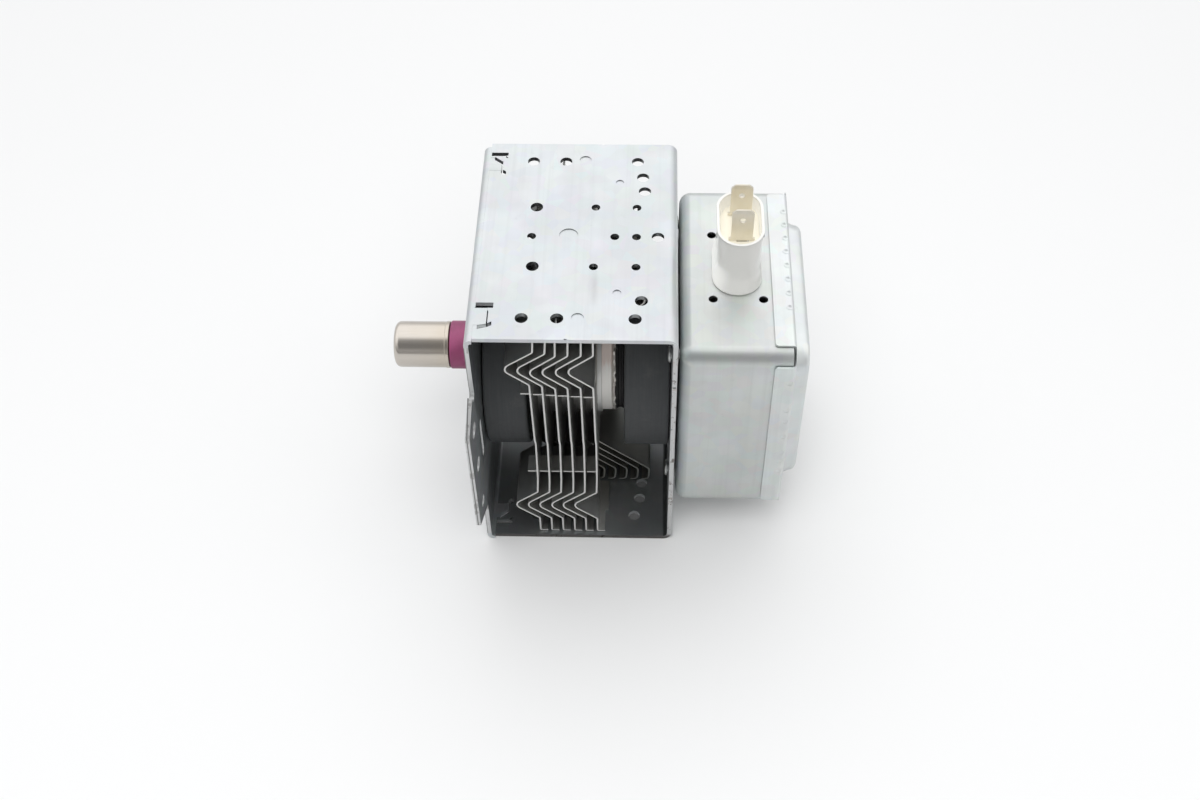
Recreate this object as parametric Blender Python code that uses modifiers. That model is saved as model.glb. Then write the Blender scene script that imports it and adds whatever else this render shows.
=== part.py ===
"""Microwave oven magnetron, lying on one side of its yoke with the antenna towards -X.

Metres, +Z up. The origin is the middle of the yoke's underside. Every piece hangs from an empty
on the tube's axis at the outer face of the end plate, so a piece's own x is its distance along
the tube, and its y and z are measured from the axis.
"""

import math

import bmesh
import bpy
from mathutils import Matrix, Vector

MM = 0.001

# Clearance kept between pieces that touch, and the facets of a turned piece.
FIT = 0.3 * MM
SEGMENTS = 32
SMALL_SEGMENTS = 12
HOLE_SEGMENTS = 8

# Yoke: a folded U of galvanised sheet, closed by an end plate with two mounting ears.
YOKE_DEPTH = 81.0 * MM
YOKE_HEIGHT = 98.0 * MM
YOKE_SHEET = 1.4 * MM
YOKE_BEND = 3.0 * MM
LIP_BEND = 2.2 * MM
LIP_REACH = 2.4 * MM
TAB_REACH = 5.1 * MM
PLATE_MARGIN = 0.3 * MM
PLATE_SHIFT = -1.2 * MM
EAR_REACH = 14.5 * MM
EAR_ROOT = 59.6 * MM
EAR_TIP = 43.0 * MM
EAR_HOLE_INSET = 7.5 * MM
EAR_HOLE = 5.0 * MM
EAR_HOLE_LOW = 4.0 * MM
EAR_NOTCH = 6.4 * MM
ROOT_SLOT_LENGTH = 16.0 * MM
ROOT_SLOT_WIDTH = 3.0 * MM

# Staked joints between the end plate's tabs and the yoke's side plates.
SLOT_END = 7.5 * MM
SLOT_WIDTH = 1.3 * MM
FRONT_TAB_INSET = 5.6 * MM
FRONT_TAB_WIDTH = 7.2 * MM
BACK_TAB_INSET = 6.6 * MM
BACK_TAB_WIDTH = 5.6 * MM
TAB_SLANT = 1.4 * MM

# Magnets
MAGNET_MARGIN = 18.0 * MM
MAGNET_BORE = 21.0 * MM
MAGNET_THICKNESS = 13.2 * MM
MAGNET_CHAMFER = 1.0 * MM

# Anode block and the vacuum envelope
ANODE_DIAMETER = 40.0 * MM
ANODE_BORE = 35.0 * MM
ANODE_LENGTH = 24.1 * MM
SEAT_DEPTH = 1.6 * MM
SEAT_STEP = 1.1 * MM
VANE_COUNT = 10
VANE_THICKNESS = 1.9 * MM
VANE_HEIGHT = 9.5 * MM
CAVITY_DIAMETER = 9.0 * MM
STRAP_THICKNESS = 0.9 * MM
STRAP_DEPTH = 1.0 * MM
STRAP_INNER = 6.5 * MM
POLE_SHEET = 1.3 * MM
POLE_DEPTH = 5.8 * MM
POLE_HOLE = 9.2 * MM
POLE_SHOULDER = 13.6 * MM
SEAL_FLANGE = 0.8 * MM
SEAL_FLANGE_RADIUS = 19.7 * MM
SEAL_WALL = 0.5 * MM
OUTPUT_SLEEVE_RADIUS = 8.2 * MM
INPUT_SLEEVE_RADIUS = 9.0 * MM
SLEEVE_OUT_REACH = 2.0 * MM
SLEEVE_IN_REACH = 0.9 * MM
SPACER_RADIUS = 19.6 * MM
SPACER_THICKNESS = 3.0 * MM

# Antenna
CERAMIC_DIAMETER = 15.4 * MM
CERAMIC_LENGTH = 8.8 * MM
CERAMIC_WALL = 2.3 * MM
CAP_DIAMETER = 14.7 * MM
CAP_LENGTH = 17.6 * MM
CAP_WALL = 0.5 * MM
CAP_RIM = 1.2 * MM
CAP_CORNER = 2.0 * MM
EXHAUST_DIAMETER = 6.4 * MM
EXHAUST_WALL = 0.6 * MM
EXHAUST_LENGTH = 13.0 * MM
PINCH_LENGTH = 5.0 * MM
LEAD_DIAMETER = 2.4 * MM
LEAD_START_RADIUS = 10.8 * MM
GASKET_DIAMETER = 29.0 * MM
GASKET_THICKNESS = 4.0 * MM
RETAINER_SHEET = 0.4 * MM

# Cathode
FILAMENT_DIAMETER = 4.2 * MM
FILAMENT_WIRE = 0.6 * MM
FILAMENT_TURNS = 6
HAT_RADIUS = 3.8 * MM
HAT_THICKNESS = 0.9 * MM
CATHODE_LEAD_RADIUS = 0.7 * MM
SIDE_LEAD_OFFSET = 3.3 * MM
STEM_RADIUS = 8.0 * MM
STEM_LENGTH = 8.4 * MM
TERMINAL_WIDTH = 2.4 * MM
TERMINAL_SHEET = 0.8 * MM
TERMINAL_REACH = 6.5 * MM

# Cooling fins
FIN_COUNT = 6
FIN_SHEET = 0.5 * MM
FIN_FIRST = 1.3 * MM
FIN_LAST = 4.2 * MM
FIN_INSET = 1.5 * MM
FIN_SLIT_LINE = 19.0 * MM
FIN_SLIT = 0.6 * MM
FIN_BEND = 1.0 * MM
FOLD_START = 21.2 * MM
FOLD_TIP = 14.1 * MM
FOLD_END = 6.9 * MM
FOLD_REACH = 8.4 * MM
FOLD_TIP_BEND = 2.3 * MM
FOOT_SHORT = 2.3 * MM
FOOT_LONG = 3.4 * MM
FOOT_STEP_LINE = 30.8 * MM
WING_REACH = 16.8 * MM
WING_END = 5.4 * MM
WING_BEND = 2.2 * MM
COLLAR_REACH = 1.5 * MM
COLLAR_WALL = 0.7 * MM
GUIDE_HEIGHT = 18.6 * MM
GUIDE_INSET = 2.9 * MM
GUIDE_DEPTH = 6.0 * MM
GUIDE_REACH = 3.2 * MM

# Filter box on the yoke's far wall
BOX_GAP = 0.9 * MM
BOX_LENGTH = 32.5 * MM
BOX_MARGIN_Y = 5.3 * MM
BOX_MARGIN_Z = 12.7 * MM
BOX_SHEET = 0.6 * MM
BOX_CORNER = 4.5 * MM
BOX_FLOOR_BEND = 3.0 * MM
LID_OVERLAP = 5.3 * MM
LID_PANEL_MARGIN_Y = 3.2 * MM
LID_PANEL_MARGIN_Z = 4.6 * MM
LID_PANEL_RISE = 4.9 * MM
LID_PANEL_CORNER = 7.0 * MM
LID_NOTCH_TOP = 3.8 * MM
LID_NOTCH_SIDE = 3.8 * MM
LID_NOTCH_BELOW = 4.0 * MM
RIVET_INSET_Y = 8.2 * MM
RIVET_INSET_Z = 8.3 * MM
RIVET_SHANK = 1.5 * MM
RIVET_HEAD = 2.8 * MM
RIVET_HEAD_HEIGHT = 0.9 * MM

# Feed-through capacitor with its two push-on tabs
SUPPLY_OFFSET = 17.1 * MM
SUPPLY_Y = 0.6 * MM
TAB_SPACING = 11.4 * MM
TAB_WIDTH = 6.35 * MM
TAB_SHEET = 0.8 * MM
TAB_RISE = 10.3 * MM
TAB_CHAMFER = 1.0 * MM
TAB_SHOULDER = 7.6 * MM
TAB_SHOULDER_HEIGHT = 0.7 * MM
TAB_HOLE = 1.8 * MM
TAB_HOLE_DROP = 3.9 * MM
NECK_WIDTH = 3.0 * MM
SHELL_WIDTH = 15.1 * MM
SHELL_LENGTH = 24.3 * MM
SHELL_RISE = 20.0 * MM
SHELL_DRAFT = 0.7 * MM
SHELL_WALL = 1.1 * MM
SHELL_RECESS = 3.0 * MM
VENT_HOLE = 2.6 * MM
VENT_X = 7.4 * MM
VENT_Y = 13.3 * MM
GROUND_SHEET = 0.8 * MM
GROUND_WIDTH = 20.0 * MM
GROUND_LENGTH = 32.0 * MM
CERAMIC_BLOCK_HEIGHT = 8.0 * MM
CERAMIC_BLOCK_WIDTH = 9.0 * MM
INNER_CASE_HEIGHT = 5.6 * MM
INNER_CASE_WIDTH = 8.0 * MM
BLOCK_MARGIN = 4.2 * MM

# Chokes
CORE_RADIUS = 2.6 * MM
CORE_LENGTH = 24.0 * MM
CORE_OFFSET = 2.5 * MM
CORE_Y = 13.0 * MM
CORE_DROP = 1.0 * MM
CHOKE_WIRE = 1.4 * MM
CHOKE_TURNS = 8
CHOKE_PITCH = 1.8 * MM
COIL_STEPS = 8

# Sizes that follow from the ones above
AXIS_HEIGHT = YOKE_HEIGHT / 2
HALF_SHEET = YOKE_SHEET / 2
HALF_HEIGHT = YOKE_HEIGHT / 2
INSIDE_HEIGHT = HALF_HEIGHT - YOKE_SHEET
MAGNET_DIAMETER = YOKE_HEIGHT - 2 * MAGNET_MARGIN
HALF_DEPTH = YOKE_DEPTH / 2
PLATE_DEPTH = YOKE_DEPTH - 2 * PLATE_MARGIN
EAR_SPAN = YOKE_DEPTH + 2 * EAR_REACH
EAR_HOLE_LINE = EAR_SPAN / 2 - EAR_HOLE_INSET
FRONT_TAB = (FRONT_TAB_INSET - HALF_DEPTH, FRONT_TAB_INSET + FRONT_TAB_WIDTH - HALF_DEPTH)
BACK_TAB = (HALF_DEPTH - BACK_TAB_INSET - BACK_TAB_WIDTH, HALF_DEPTH - BACK_TAB_INSET)
MAGNET_OUT_START = YOKE_SHEET + FIT
MAGNET_OUT_END = MAGNET_OUT_START + MAGNET_THICKNESS
SEAL_OUT_START = MAGNET_OUT_END + FIT
ANODE_START = SEAL_OUT_START + SEAL_FLANGE + FIT
ANODE_END = ANODE_START + ANODE_LENGTH
ANODE_MIDDLE = (ANODE_START + ANODE_END) / 2
SEAL_IN_START = ANODE_END + FIT
SPACER_START = SEAL_IN_START + SEAL_FLANGE + FIT
MAGNET_IN_START = SPACER_START + SPACER_THICKNESS + FIT
WALL_INSIDE = MAGNET_IN_START + MAGNET_THICKNESS + FIT
YOKE_LENGTH = WALL_INSIDE + YOKE_SHEET
ANODE_RADIUS = ANODE_DIAMETER / 2
VANE_START = ANODE_MIDDLE - VANE_HEIGHT / 2
VANE_END = ANODE_MIDDLE + VANE_HEIGHT / 2
LEAD_BEND_X = VANE_START - FIT - LEAD_DIAMETER / 2
CERAMIC_START = -SLEEVE_OUT_REACH - FIT
CAP_START = CERAMIC_START - CERAMIC_LENGTH - FIT
FIN_DEPTH = YOKE_DEPTH - 2 * FIN_INSET
GUIDE_FRONT = FIN_DEPTH / 2 - GUIDE_INSET
FIN_PITCH = (ANODE_LENGTH - FIN_FIRST - FIN_LAST) / (FIN_COUNT - 1)
BOX_START = YOKE_LENGTH + BOX_GAP
BOX_END = BOX_START + BOX_LENGTH
BOX_DEPTH = YOKE_DEPTH - 2 * BOX_MARGIN_Y
BOX_HEIGHT = YOKE_HEIGHT - 2 * BOX_MARGIN_Z
BOX_TOP = BOX_HEIGHT / 2
LID_PANEL_Y = BOX_DEPTH / 2 - LID_PANEL_MARGIN_Y
LID_PANEL_Z = BOX_TOP - LID_PANEL_MARGIN_Z
RIVET_Y = BOX_DEPTH / 2 - RIVET_INSET_Y
RIVET_Z = BOX_TOP - RIVET_INSET_Z
SUPPLY_X = BOX_START + SUPPLY_OFFSET
CORE_X = SUPPLY_X + CORE_OFFSET
STEM_START = YOKE_LENGTH + SLEEVE_IN_REACH + FIT
STEM_END = STEM_START + STEM_LENGTH
TERMINAL_START = STEM_END + FIT
SHELL_START = BOX_TOP + FIT
SHELL_FLOOR = SHELL_START + SHELL_RISE - SHELL_RECESS
TAB_FOOT = SHELL_FLOOR + FIT
TAB_TOP = SHELL_FLOOR + TAB_RISE
GROUND_TOP = BOX_TOP - BOX_SHEET - FIT
CERAMIC_BLOCK_TOP = GROUND_TOP - GROUND_SHEET - FIT
INNER_CASE_TOP = CERAMIC_BLOCK_TOP - CERAMIC_BLOCK_HEIGHT - FIT
NECK_END = INNER_CASE_TOP - INNER_CASE_HEIGHT - 1.5 * MM
COIL_RADIUS = CORE_RADIUS + FIT + CHOKE_WIRE / 2

# Holes of the yoke's two side plates: distance from the end plate and diameter, by row.
# Those near the far wall keep their distance from it.
LARGE_HOLE = 3.7 * MM
SMALL_HOLE = 2.5 * MM
FAR_LINE = YOKE_LENGTH - 12.2 * MM
EDGE_ROW = HALF_DEPTH - 8.0 * MM
EDGE_HOLES = ((15.8 * MM, LARGE_HOLE), (25.8 * MM, LARGE_HOLE), (FAR_LINE, LARGE_HOLE))
INNER_ROW = 12.3 * MM
INNER_HOLES = (
    (17.8 * MM, LARGE_HOLE),
    (YOKE_LENGTH - 24.5 * MM, SMALL_HOLE),
    (FAR_LINE, SMALL_HOLE),
)
MIDDLE_HOLES = (
    (16.9 * MM, SMALL_HOLE),
    (YOKE_LENGTH - 18.6 * MM, SMALL_HOLE),
    (FAR_LINE, SMALL_HOLE),
    (YOKE_LENGTH - 5.9 * MM, LARGE_HOLE),
)
PAIR_HOLE = (YOKE_LENGTH - 10.5 * MM, HALF_DEPTH - 15.0 * MM)
ODD_HOLE = (YOKE_LENGTH - 9.9 * MM, HALF_DEPTH - 21.1 * MM)

GALVANISED = ("galvanised_steel", (0.74, 0.76, 0.77), 0.38, 0.9)
FERRITE = ("ferrite", (0.045, 0.047, 0.05), 0.7, 0.0)
ALUMINIUM = ("fin_aluminium", (0.80, 0.80, 0.78), 0.3, 1.0)
COPPER = ("copper", (0.72, 0.38, 0.24), 0.35, 1.0)
IRON = ("pole_iron", (0.50, 0.50, 0.49), 0.45, 0.9)
SEAL_STEEL = ("seal_steel", (0.62, 0.62, 0.60), 0.35, 0.95)
BLACK_RING = ("black_ring", (0.03, 0.03, 0.03), 0.6, 0.0)
PURPLE_CERAMIC = ("purple_ceramic", (0.42, 0.10, 0.25), 0.45, 0.0)
NICKEL = ("nickel_cap", (0.66, 0.60, 0.54), 0.25, 1.0)
MESH_WIRE = ("mesh_gasket", (0.62, 0.57, 0.45), 0.45, 0.9)
TUNGSTEN = ("tungsten", (0.30, 0.30, 0.31), 0.5, 0.9)
WHITE_CERAMIC = ("white_ceramic", (0.85, 0.83, 0.78), 0.5, 0.0)
CREAM_PLASTIC = ("cream_insulator", (0.87, 0.84, 0.74), 0.45, 0.0)
TINNED = ("tinned_brass", (0.66, 0.58, 0.42), 0.35, 0.9)
ENAMEL_WIRE = ("enamelled_copper", (0.60, 0.25, 0.10), 0.3, 0.7)


def clear_scene():
    for obj in list(bpy.data.objects):
        bpy.data.objects.remove(obj, do_unlink=True)


def new_collection(name):
    collection = bpy.data.collections.new(name)
    bpy.context.scene.collection.children.link(collection)
    return collection


def material(finish):
    name, colour, roughness, metallic = finish
    found = bpy.data.materials.get(name)
    if found:
        return found
    made = bpy.data.materials.new(name)
    made.use_nodes = True
    shader = made.node_tree.nodes["Principled BSDF"]
    shader.inputs["Base Color"].default_value = (*colour, 1.0)
    shader.inputs["Roughness"].default_value = roughness
    shader.inputs["Metallic"].default_value = metallic
    made.diffuse_color = (*colour, 1.0)
    return made


def place(name, data, finish, location=(0, 0, 0), rotation=(0, 0, 0)):
    """A visible piece, carried by the tube's axis."""
    obj = bpy.data.objects.new(name, data)
    PIECES.objects.link(obj)
    obj.parent = AXIS
    obj.location = location
    obj.rotation_euler = rotation
    if not data.materials:
        data.materials.append(material(finish))
    return obj


def as_cutter(obj):
    """Hides a helper that only cuts or joins, and moves it to the cutters."""
    for collection in list(obj.users_collection):
        collection.objects.unlink(obj)
    CUTTERS.objects.link(obj)
    obj.parent = AXIS
    obj.hide_render = True
    obj.display_type = "WIRE"
    return obj


def combine(obj, other, operation):
    modifier = obj.modifiers.new(operation.lower(), "BOOLEAN")
    modifier.operation = operation
    modifier.solver = "EXACT"
    modifier.object = other


def finished_mesh(obj):
    """The evaluated mesh of a helper, with loose caps welded, as plain mesh data."""
    bpy.context.view_layer.update()
    graph = bpy.context.evaluated_depsgraph_get()
    mesh = bpy.data.meshes.new_from_object(obj.evaluated_get(graph))
    edit = bmesh.new()
    edit.from_mesh(mesh)
    bmesh.ops.remove_doubles(edit, verts=edit.verts, dist=1e-6)
    bmesh.ops.recalc_face_normals(edit, faces=edit.faces)
    edit.to_mesh(mesh)
    edit.free()
    bpy.data.objects.remove(obj, do_unlink=True)
    return mesh


def smooth(mesh, angle=35):
    mesh.shade_smooth()
    mesh.set_sharp_from_angle(angle=math.radians(angle))


def mesh_from(edit, name):
    mesh = bpy.data.meshes.new(name)
    edit.to_mesh(mesh)
    edit.free()
    return mesh


def turned(name, profile, finish, segments=SEGMENTS):
    """A piece turned about the tube's axis. profile holds (radius, distance along the tube),
    as a closed loop, or as an open one whose two ends lie on the axis."""
    closed = profile[0][0] > 0
    following = profile[1:] + profile[:1]
    area = sum(a[0] * b[1] - b[0] * a[1] for a, b in zip(profile, following))
    points = profile if area < 0 else profile[::-1]
    edit = bmesh.new()
    verts = [edit.verts.new((radius, 0, distance)) for radius, distance in points]
    for a, b in zip(verts, verts[1:] + verts[:1] if closed else verts[1:]):
        edit.edges.new((a, b))
    obj = place(name, mesh_from(edit, name), finish, rotation=(0, math.radians(90), 0))
    screw = obj.modifiers.new("turn", "SCREW")
    screw.axis = "Z"
    screw.steps = screw.render_steps = segments
    screw.use_merge_vertices = True
    screw.merge_threshold = 1e-5
    screw.use_smooth_shade = True
    return obj


def ring_profile(outer, inner, start, end, chamfer=0.0):
    """A ring with its four edges broken by the same chamfer."""
    if not chamfer:
        return [(outer, end), (outer, start), (inner, start), (inner, end)]
    return [
        (outer - chamfer, end),
        (outer, end - chamfer),
        (outer, start + chamfer),
        (outer - chamfer, start),
        (inner + chamfer, start),
        (inner, start + chamfer),
        (inner, end - chamfer),
        (inner + chamfer, end),
    ]


def rounded(points, radii, steps):
    """A path of 2D points with each inner corner turned into an arc of its radius."""
    path = [Vector(points[0])]
    for before, corner, after, radius in zip(points, points[1:], points[2:], radii):
        corner = Vector(corner)
        back = (Vector(before) - corner).normalized()
        ahead = (Vector(after) - corner).normalized()
        half = back.angle(ahead) / 2
        centre = corner + (back + ahead).normalized() * (radius / math.sin(half))
        start = corner + back * (radius / math.tan(half)) - centre
        turn = start.angle_signed(corner + ahead * (radius / math.tan(half)) - centre)
        for step in range(steps + 1):
            path.append(centre + Matrix.Rotation(-turn * step / steps, 2) @ start)
    path.append(Vector(points[-1]))
    return path


def ribbon(edit, path, low, high, shared=()):
    """Quads that sweep a path of (x, z) from y low to y high. Returns the two rows of points."""
    rows = []
    for y in (low, high):
        row = [edit.verts.new((x, y, z)) for x, z in path]
        rows.append(row)
    for row, first in zip(rows, shared):
        edit.verts.remove(row[0])
        row[0] = first
    low_row, high_row = rows
    for k in range(len(path) - 1):
        edit.faces.new((low_row[k], low_row[k + 1], high_row[k + 1], high_row[k]))
    return rows


def thicken(obj, thickness, offset=0.0):
    solid = obj.modifiers.new("sheet", "SOLIDIFY")
    solid.thickness = thickness
    solid.offset = offset
    solid.use_even_offset = True
    solid.use_quality_normals = True


def outline_mesh(outlines, half_thickness):
    """A flat plate in the xy plane, centred on it, from closed outlines of 2D points."""
    curve = bpy.data.curves.new("outline", "CURVE")
    curve.dimensions = "2D"
    curve.fill_mode = "BOTH"
    curve.extrude = half_thickness
    for outline in outlines:
        spline = curve.splines.new("POLY")
        spline.points.add(len(outline) - 1)
        for point, (x, y) in zip(spline.points, outline):
            point.co = (x, y, 0, 1)
        spline.use_cyclic_u = True
    obj = bpy.data.objects.new("outline", curve)
    CUTTERS.objects.link(obj)
    mesh = finished_mesh(obj)
    bpy.data.curves.remove(curve)
    return mesh


def arc(centre, radius, start, end, steps):
    """Points on an arc, with both ends, angles in degrees."""
    angles = [math.radians(start + (end - start) * k / steps) for k in range(steps + 1)]
    return [(centre[0] + radius * math.cos(a), centre[1] + radius * math.sin(a)) for a in angles]


def circle(centre, diameter, steps=HOLE_SEGMENTS):
    return arc(centre, diameter / 2, 0, 360, steps)[:-1]


def stadium(width, length, steps=8, centre=(0, 0)):
    """A slot's outline: width along x, length along y, with round ends."""
    reach = (length - width) / 2
    x, y = centre
    return arc((x, y + reach), width / 2, 0, 180, steps) + arc(
        (x, y - reach), width / 2, 180, 360, steps
    )


def capsule(start, end, radius, steps=6):
    """The outline of a round-ended slot between two points."""
    angle = math.degrees(math.atan2(end[1] - start[1], end[0] - start[0]))
    return arc(end, radius, angle - 90, angle + 90, steps) + arc(
        start, radius, angle + 90, angle + 270, steps
    )


def cutter_plate(outlines, centre, half_thickness, facing="Z"):
    """A prism cutter. facing Z keeps the outline's x and y, facing X reads them as y and z."""
    obj = bpy.data.objects.new("cutter", outline_mesh(outlines, half_thickness))
    CUTTERS.objects.link(obj)
    as_cutter(obj)
    obj.location = centre
    if facing == "X":
        obj.rotation_euler = Matrix(((0, 0, 1), (1, 0, 0), (0, 1, 0))).to_euler()
    return obj


def half_turned(outline):
    """The outline turned half way round the tube's axis, seen in the xy plane of a side plate."""
    return [(x, -y) for x, y in outline][::-1]


def box_mesh(name, low, high):
    edit = bmesh.new()
    size = [b - a for a, b in zip(low, high)]
    middle = [(a + b) / 2 for a, b in zip(low, high)]
    bmesh.ops.create_cube(edit, size=1.0)
    bmesh.ops.scale(edit, vec=size, verts=edit.verts)
    bmesh.ops.translate(edit, vec=middle, verts=edit.verts)
    return mesh_from(edit, name)


def joined(name, meshes):
    """One helper mesh from several that don't meet."""
    edit = bmesh.new()
    for mesh in meshes:
        edit.from_mesh(mesh)
        bpy.data.meshes.remove(mesh)
    return mesh_from(edit, name)


def helper(name, mesh):
    obj = bpy.data.objects.new(name, mesh)
    CUTTERS.objects.link(obj)
    return as_cutter(obj)


def rod_mesh(radius, start, end, y=0.0, z=0.0, segments=SMALL_SEGMENTS):
    """A rod along the tube, from start to end."""
    edit = bmesh.new()
    bmesh.ops.create_cone(
        edit,
        cap_ends=True,
        segments=segments,
        radius1=radius,
        radius2=radius,
        depth=end - start,
        matrix=Matrix.Translation(((start + end) / 2, y, z)) @ Matrix.Rotation(math.pi / 2, 4, "Y"),
    )
    return mesh_from(edit, "rod")


def wire(name, points, radius, finish):
    """A round wire through the points, with filled ends."""
    curve = bpy.data.curves.new(name, "CURVE")
    curve.dimensions = "3D"
    curve.bevel_depth = radius
    curve.bevel_resolution = 2
    curve.use_fill_caps = True
    spline = curve.splines.new("POLY")
    spline.points.add(len(points) - 1)
    for point, position in zip(spline.points, points):
        point.co = (*position, 1)
    return place(name, curve, finish)


def side_plate_holes():
    """Outlines of the hole pattern that both side plates of the yoke share, in three groups."""
    edge, inner, odd = [], [], [circle(ODD_HOLE, LARGE_HOLE)]
    for side in (-1, 1):
        for x, diameter in EDGE_HOLES:
            edge.append(circle((x, side * EDGE_ROW), diameter))
        for x, diameter in INNER_HOLES:
            inner.append(circle((x, side * INNER_ROW), diameter))
        odd.append(circle((PAIR_HOLE[0], side * PAIR_HOLE[1]), LARGE_HOLE))
    for x, diameter in MIDDLE_HOLES:
        inner.append(circle((x, 0), diameter))
    return [edge, inner, odd]


def joint_cuts():
    """Outlines cut from a side plate where the end plate's two tabs are staked."""
    outside = LIP_REACH - YOKE_SHEET
    notch_end = TAB_REACH + FIT
    near, far = FRONT_TAB
    front = [
        (outside, far + FIT + SLOT_WIDTH),
        (SLOT_END, far + FIT + SLOT_WIDTH),
        (SLOT_END, far + FIT),
        (notch_end, far + FIT),
        (notch_end, near + TAB_SLANT),
        (SLOT_END, near + TAB_SLANT + SLOT_WIDTH / 2),
        (SLOT_END, near + TAB_SLANT - SLOT_WIDTH / 2),
        (outside, near - SLOT_WIDTH),
    ]
    near, far = BACK_TAB
    back = [
        (outside, near - FIT),
        (notch_end, near - FIT),
        (notch_end, near - FIT - SLOT_WIDTH),
        (SLOT_END, near - FIT - SLOT_WIDTH),
        (SLOT_END, near + FIT),
        (notch_end, near + FIT),
        (notch_end, far - TAB_SLANT),
        (notch_end - TAB_SLANT, far + FIT),
        (outside, far + FIT),
    ]
    clean_slot = [
        (LIP_REACH + FIT + HALF_SHEET, far + 2 * SLOT_WIDTH),
        (SLOT_END, far + 2 * SLOT_WIDTH),
        (SLOT_END, far + SLOT_WIDTH),
        (LIP_REACH + FIT + HALF_SHEET, far + SLOT_WIDTH),
    ]
    return [front, back, clean_slot]


def yoke_frame():
    """The U: two side plates and the wall behind the filter box, folded from one sheet."""
    side = HALF_HEIGHT - HALF_SHEET
    wall = YOKE_LENGTH - HALF_SHEET
    start = LIP_REACH + FIT
    corners = [(start, side), (wall, side), (wall, -side), (start, -side)]
    edit = bmesh.new()
    path = rounded(corners, [YOKE_BEND - HALF_SHEET] * 2, 5)
    ribbon(edit, path, -YOKE_DEPTH / 2, YOKE_DEPTH / 2)
    obj = place("yoke_frame", mesh_from(edit, "yoke_frame"), GALVANISED)
    thicken(obj, YOKE_SHEET)
    cutters = []
    for group in [*side_plate_holes(), joint_cuts()]:
        cutters.append(cutter_plate(group, (0, 0, side), YOKE_SHEET))
        cutters.append(cutter_plate([half_turned(o) for o in group], (0, 0, -side), YOKE_SHEET))
    openings = [circle((0, 0), 2 * (INPUT_SLEEVE_RADIUS + 2 * FIT), SEGMENTS)]
    for y, z in rivet_places():
        openings.append(circle((y, z), 2 * (RIVET_SHANK + FIT)))
    cutters.append(cutter_plate(openings, (wall, 0, 0), YOKE_SHEET, facing="X"))
    for cutter in cutters:
        combine(obj, cutter, "DIFFERENCE")
    return obj


def lip_cut():
    """What is cut from the end plate's folded lip to leave its two tabs."""
    beyond = EAR_SPAN
    near, far = FRONT_TAB
    outline = [(LIP_REACH, -beyond), (LIP_REACH, near), (TAB_REACH, near + TAB_SLANT)]
    outline += [(TAB_REACH, far), (LIP_REACH, far)]
    near, far = BACK_TAB
    outline += [(LIP_REACH, near), (TAB_REACH, near), (TAB_REACH, far - TAB_SLANT - FIT)]
    outline += [(TAB_REACH - TAB_SLANT, far), (LIP_REACH, far), (LIP_REACH, beyond)]
    outline += [(2 * TAB_REACH, beyond), (2 * TAB_REACH, -beyond)]
    return outline


def ear_corner_cuts():
    """Outlines in y and z that leave a sloped ear at each end of the plate."""
    edges = (PLATE_SHIFT - PLATE_DEPTH / 2, PLATE_SHIFT + PLATE_DEPTH / 2)
    outlines = []
    for edge in edges:
        side = math.copysign(1, edge)
        tip = side * EAR_SPAN / 2
        slope = (EAR_TIP - EAR_ROOT) / 2 / (tip - edge)
        beyond = side * EAR_SPAN
        for up in (-1, 1):
            outlines.append(
                [
                    (edge, up * EAR_ROOT / 2),
                    (edge, up * YOKE_HEIGHT),
                    (beyond, up * YOKE_HEIGHT),
                    (beyond, up * (EAR_ROOT / 2 + slope * (beyond - edge))),
                ]
            )
    return outlines


def ear_openings():
    """Holes, notch and root slot of the front ear, and the same turned round for the back ear."""
    line = -EAR_HOLE_LINE
    root = PLATE_SHIFT - PLATE_DEPTH / 2 + FIT
    notch = EAR_NOTCH / 2
    slot = (ROOT_SLOT_LENGTH - ROOT_SLOT_WIDTH) / 2
    slot_line = root + 1.2 * ROOT_SLOT_WIDTH
    holes = [
        circle((line, EAR_HOLE * 3.3), EAR_HOLE),
        circle((line, 0), EAR_HOLE),
        circle((line, -EAR_HOLE * 3.8), EAR_HOLE_LOW),
    ]
    low_end = (root - notch, EAR_ROOT / 2 - notch - 2 * MM)
    notches = [capsule(low_end, (root - 3 * notch, EAR_ROOT), notch)]
    slots = [capsule((slot_line, -slot), (slot_line, slot), ROOT_SLOT_WIDTH / 2)]
    for group in (holes, notches, slots):
        yield group + [[(-y, -z) for y, z in outline] for outline in group]


def yoke_end_plate():
    """The plate on the antenna's side, with its lips, tabs and mounting ears."""
    side = HALF_HEIGHT - HALF_SHEET
    corners = [(TAB_REACH, side), (HALF_SHEET, side), (HALF_SHEET, -side), (TAB_REACH, -side)]
    edit = bmesh.new()
    path = rounded(corners, [LIP_BEND - HALF_SHEET] * 2, 4)
    ribbon(edit, path, -EAR_SPAN / 2, EAR_SPAN / 2)
    bmesh.ops.reverse_faces(edit, faces=edit.faces)
    obj = place("yoke_end_plate", mesh_from(edit, "yoke_end_plate"), GALVANISED)
    thicken(obj, YOKE_SHEET)
    top = cutter_plate([lip_cut()], (0, 0, side), 2 * YOKE_SHEET)
    bottom = cutter_plate([half_turned(lip_cut())], (0, 0, -side), 2 * YOKE_SHEET)
    corner = cutter_plate(ear_corner_cuts(), (0, 0, 0), 2 * TAB_REACH, facing="X")
    bore = circle((0, 0), 2 * (OUTPUT_SLEEVE_RADIUS + 2 * FIT), SEGMENTS)
    groups = [[bore], *ear_openings()]
    holes = [cutter_plate(group, (HALF_SHEET, 0, 0), YOKE_SHEET, facing="X") for group in groups]
    for cutter in (corner, top, bottom, *holes):
        combine(obj, cutter, "DIFFERENCE")
    return obj


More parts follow.
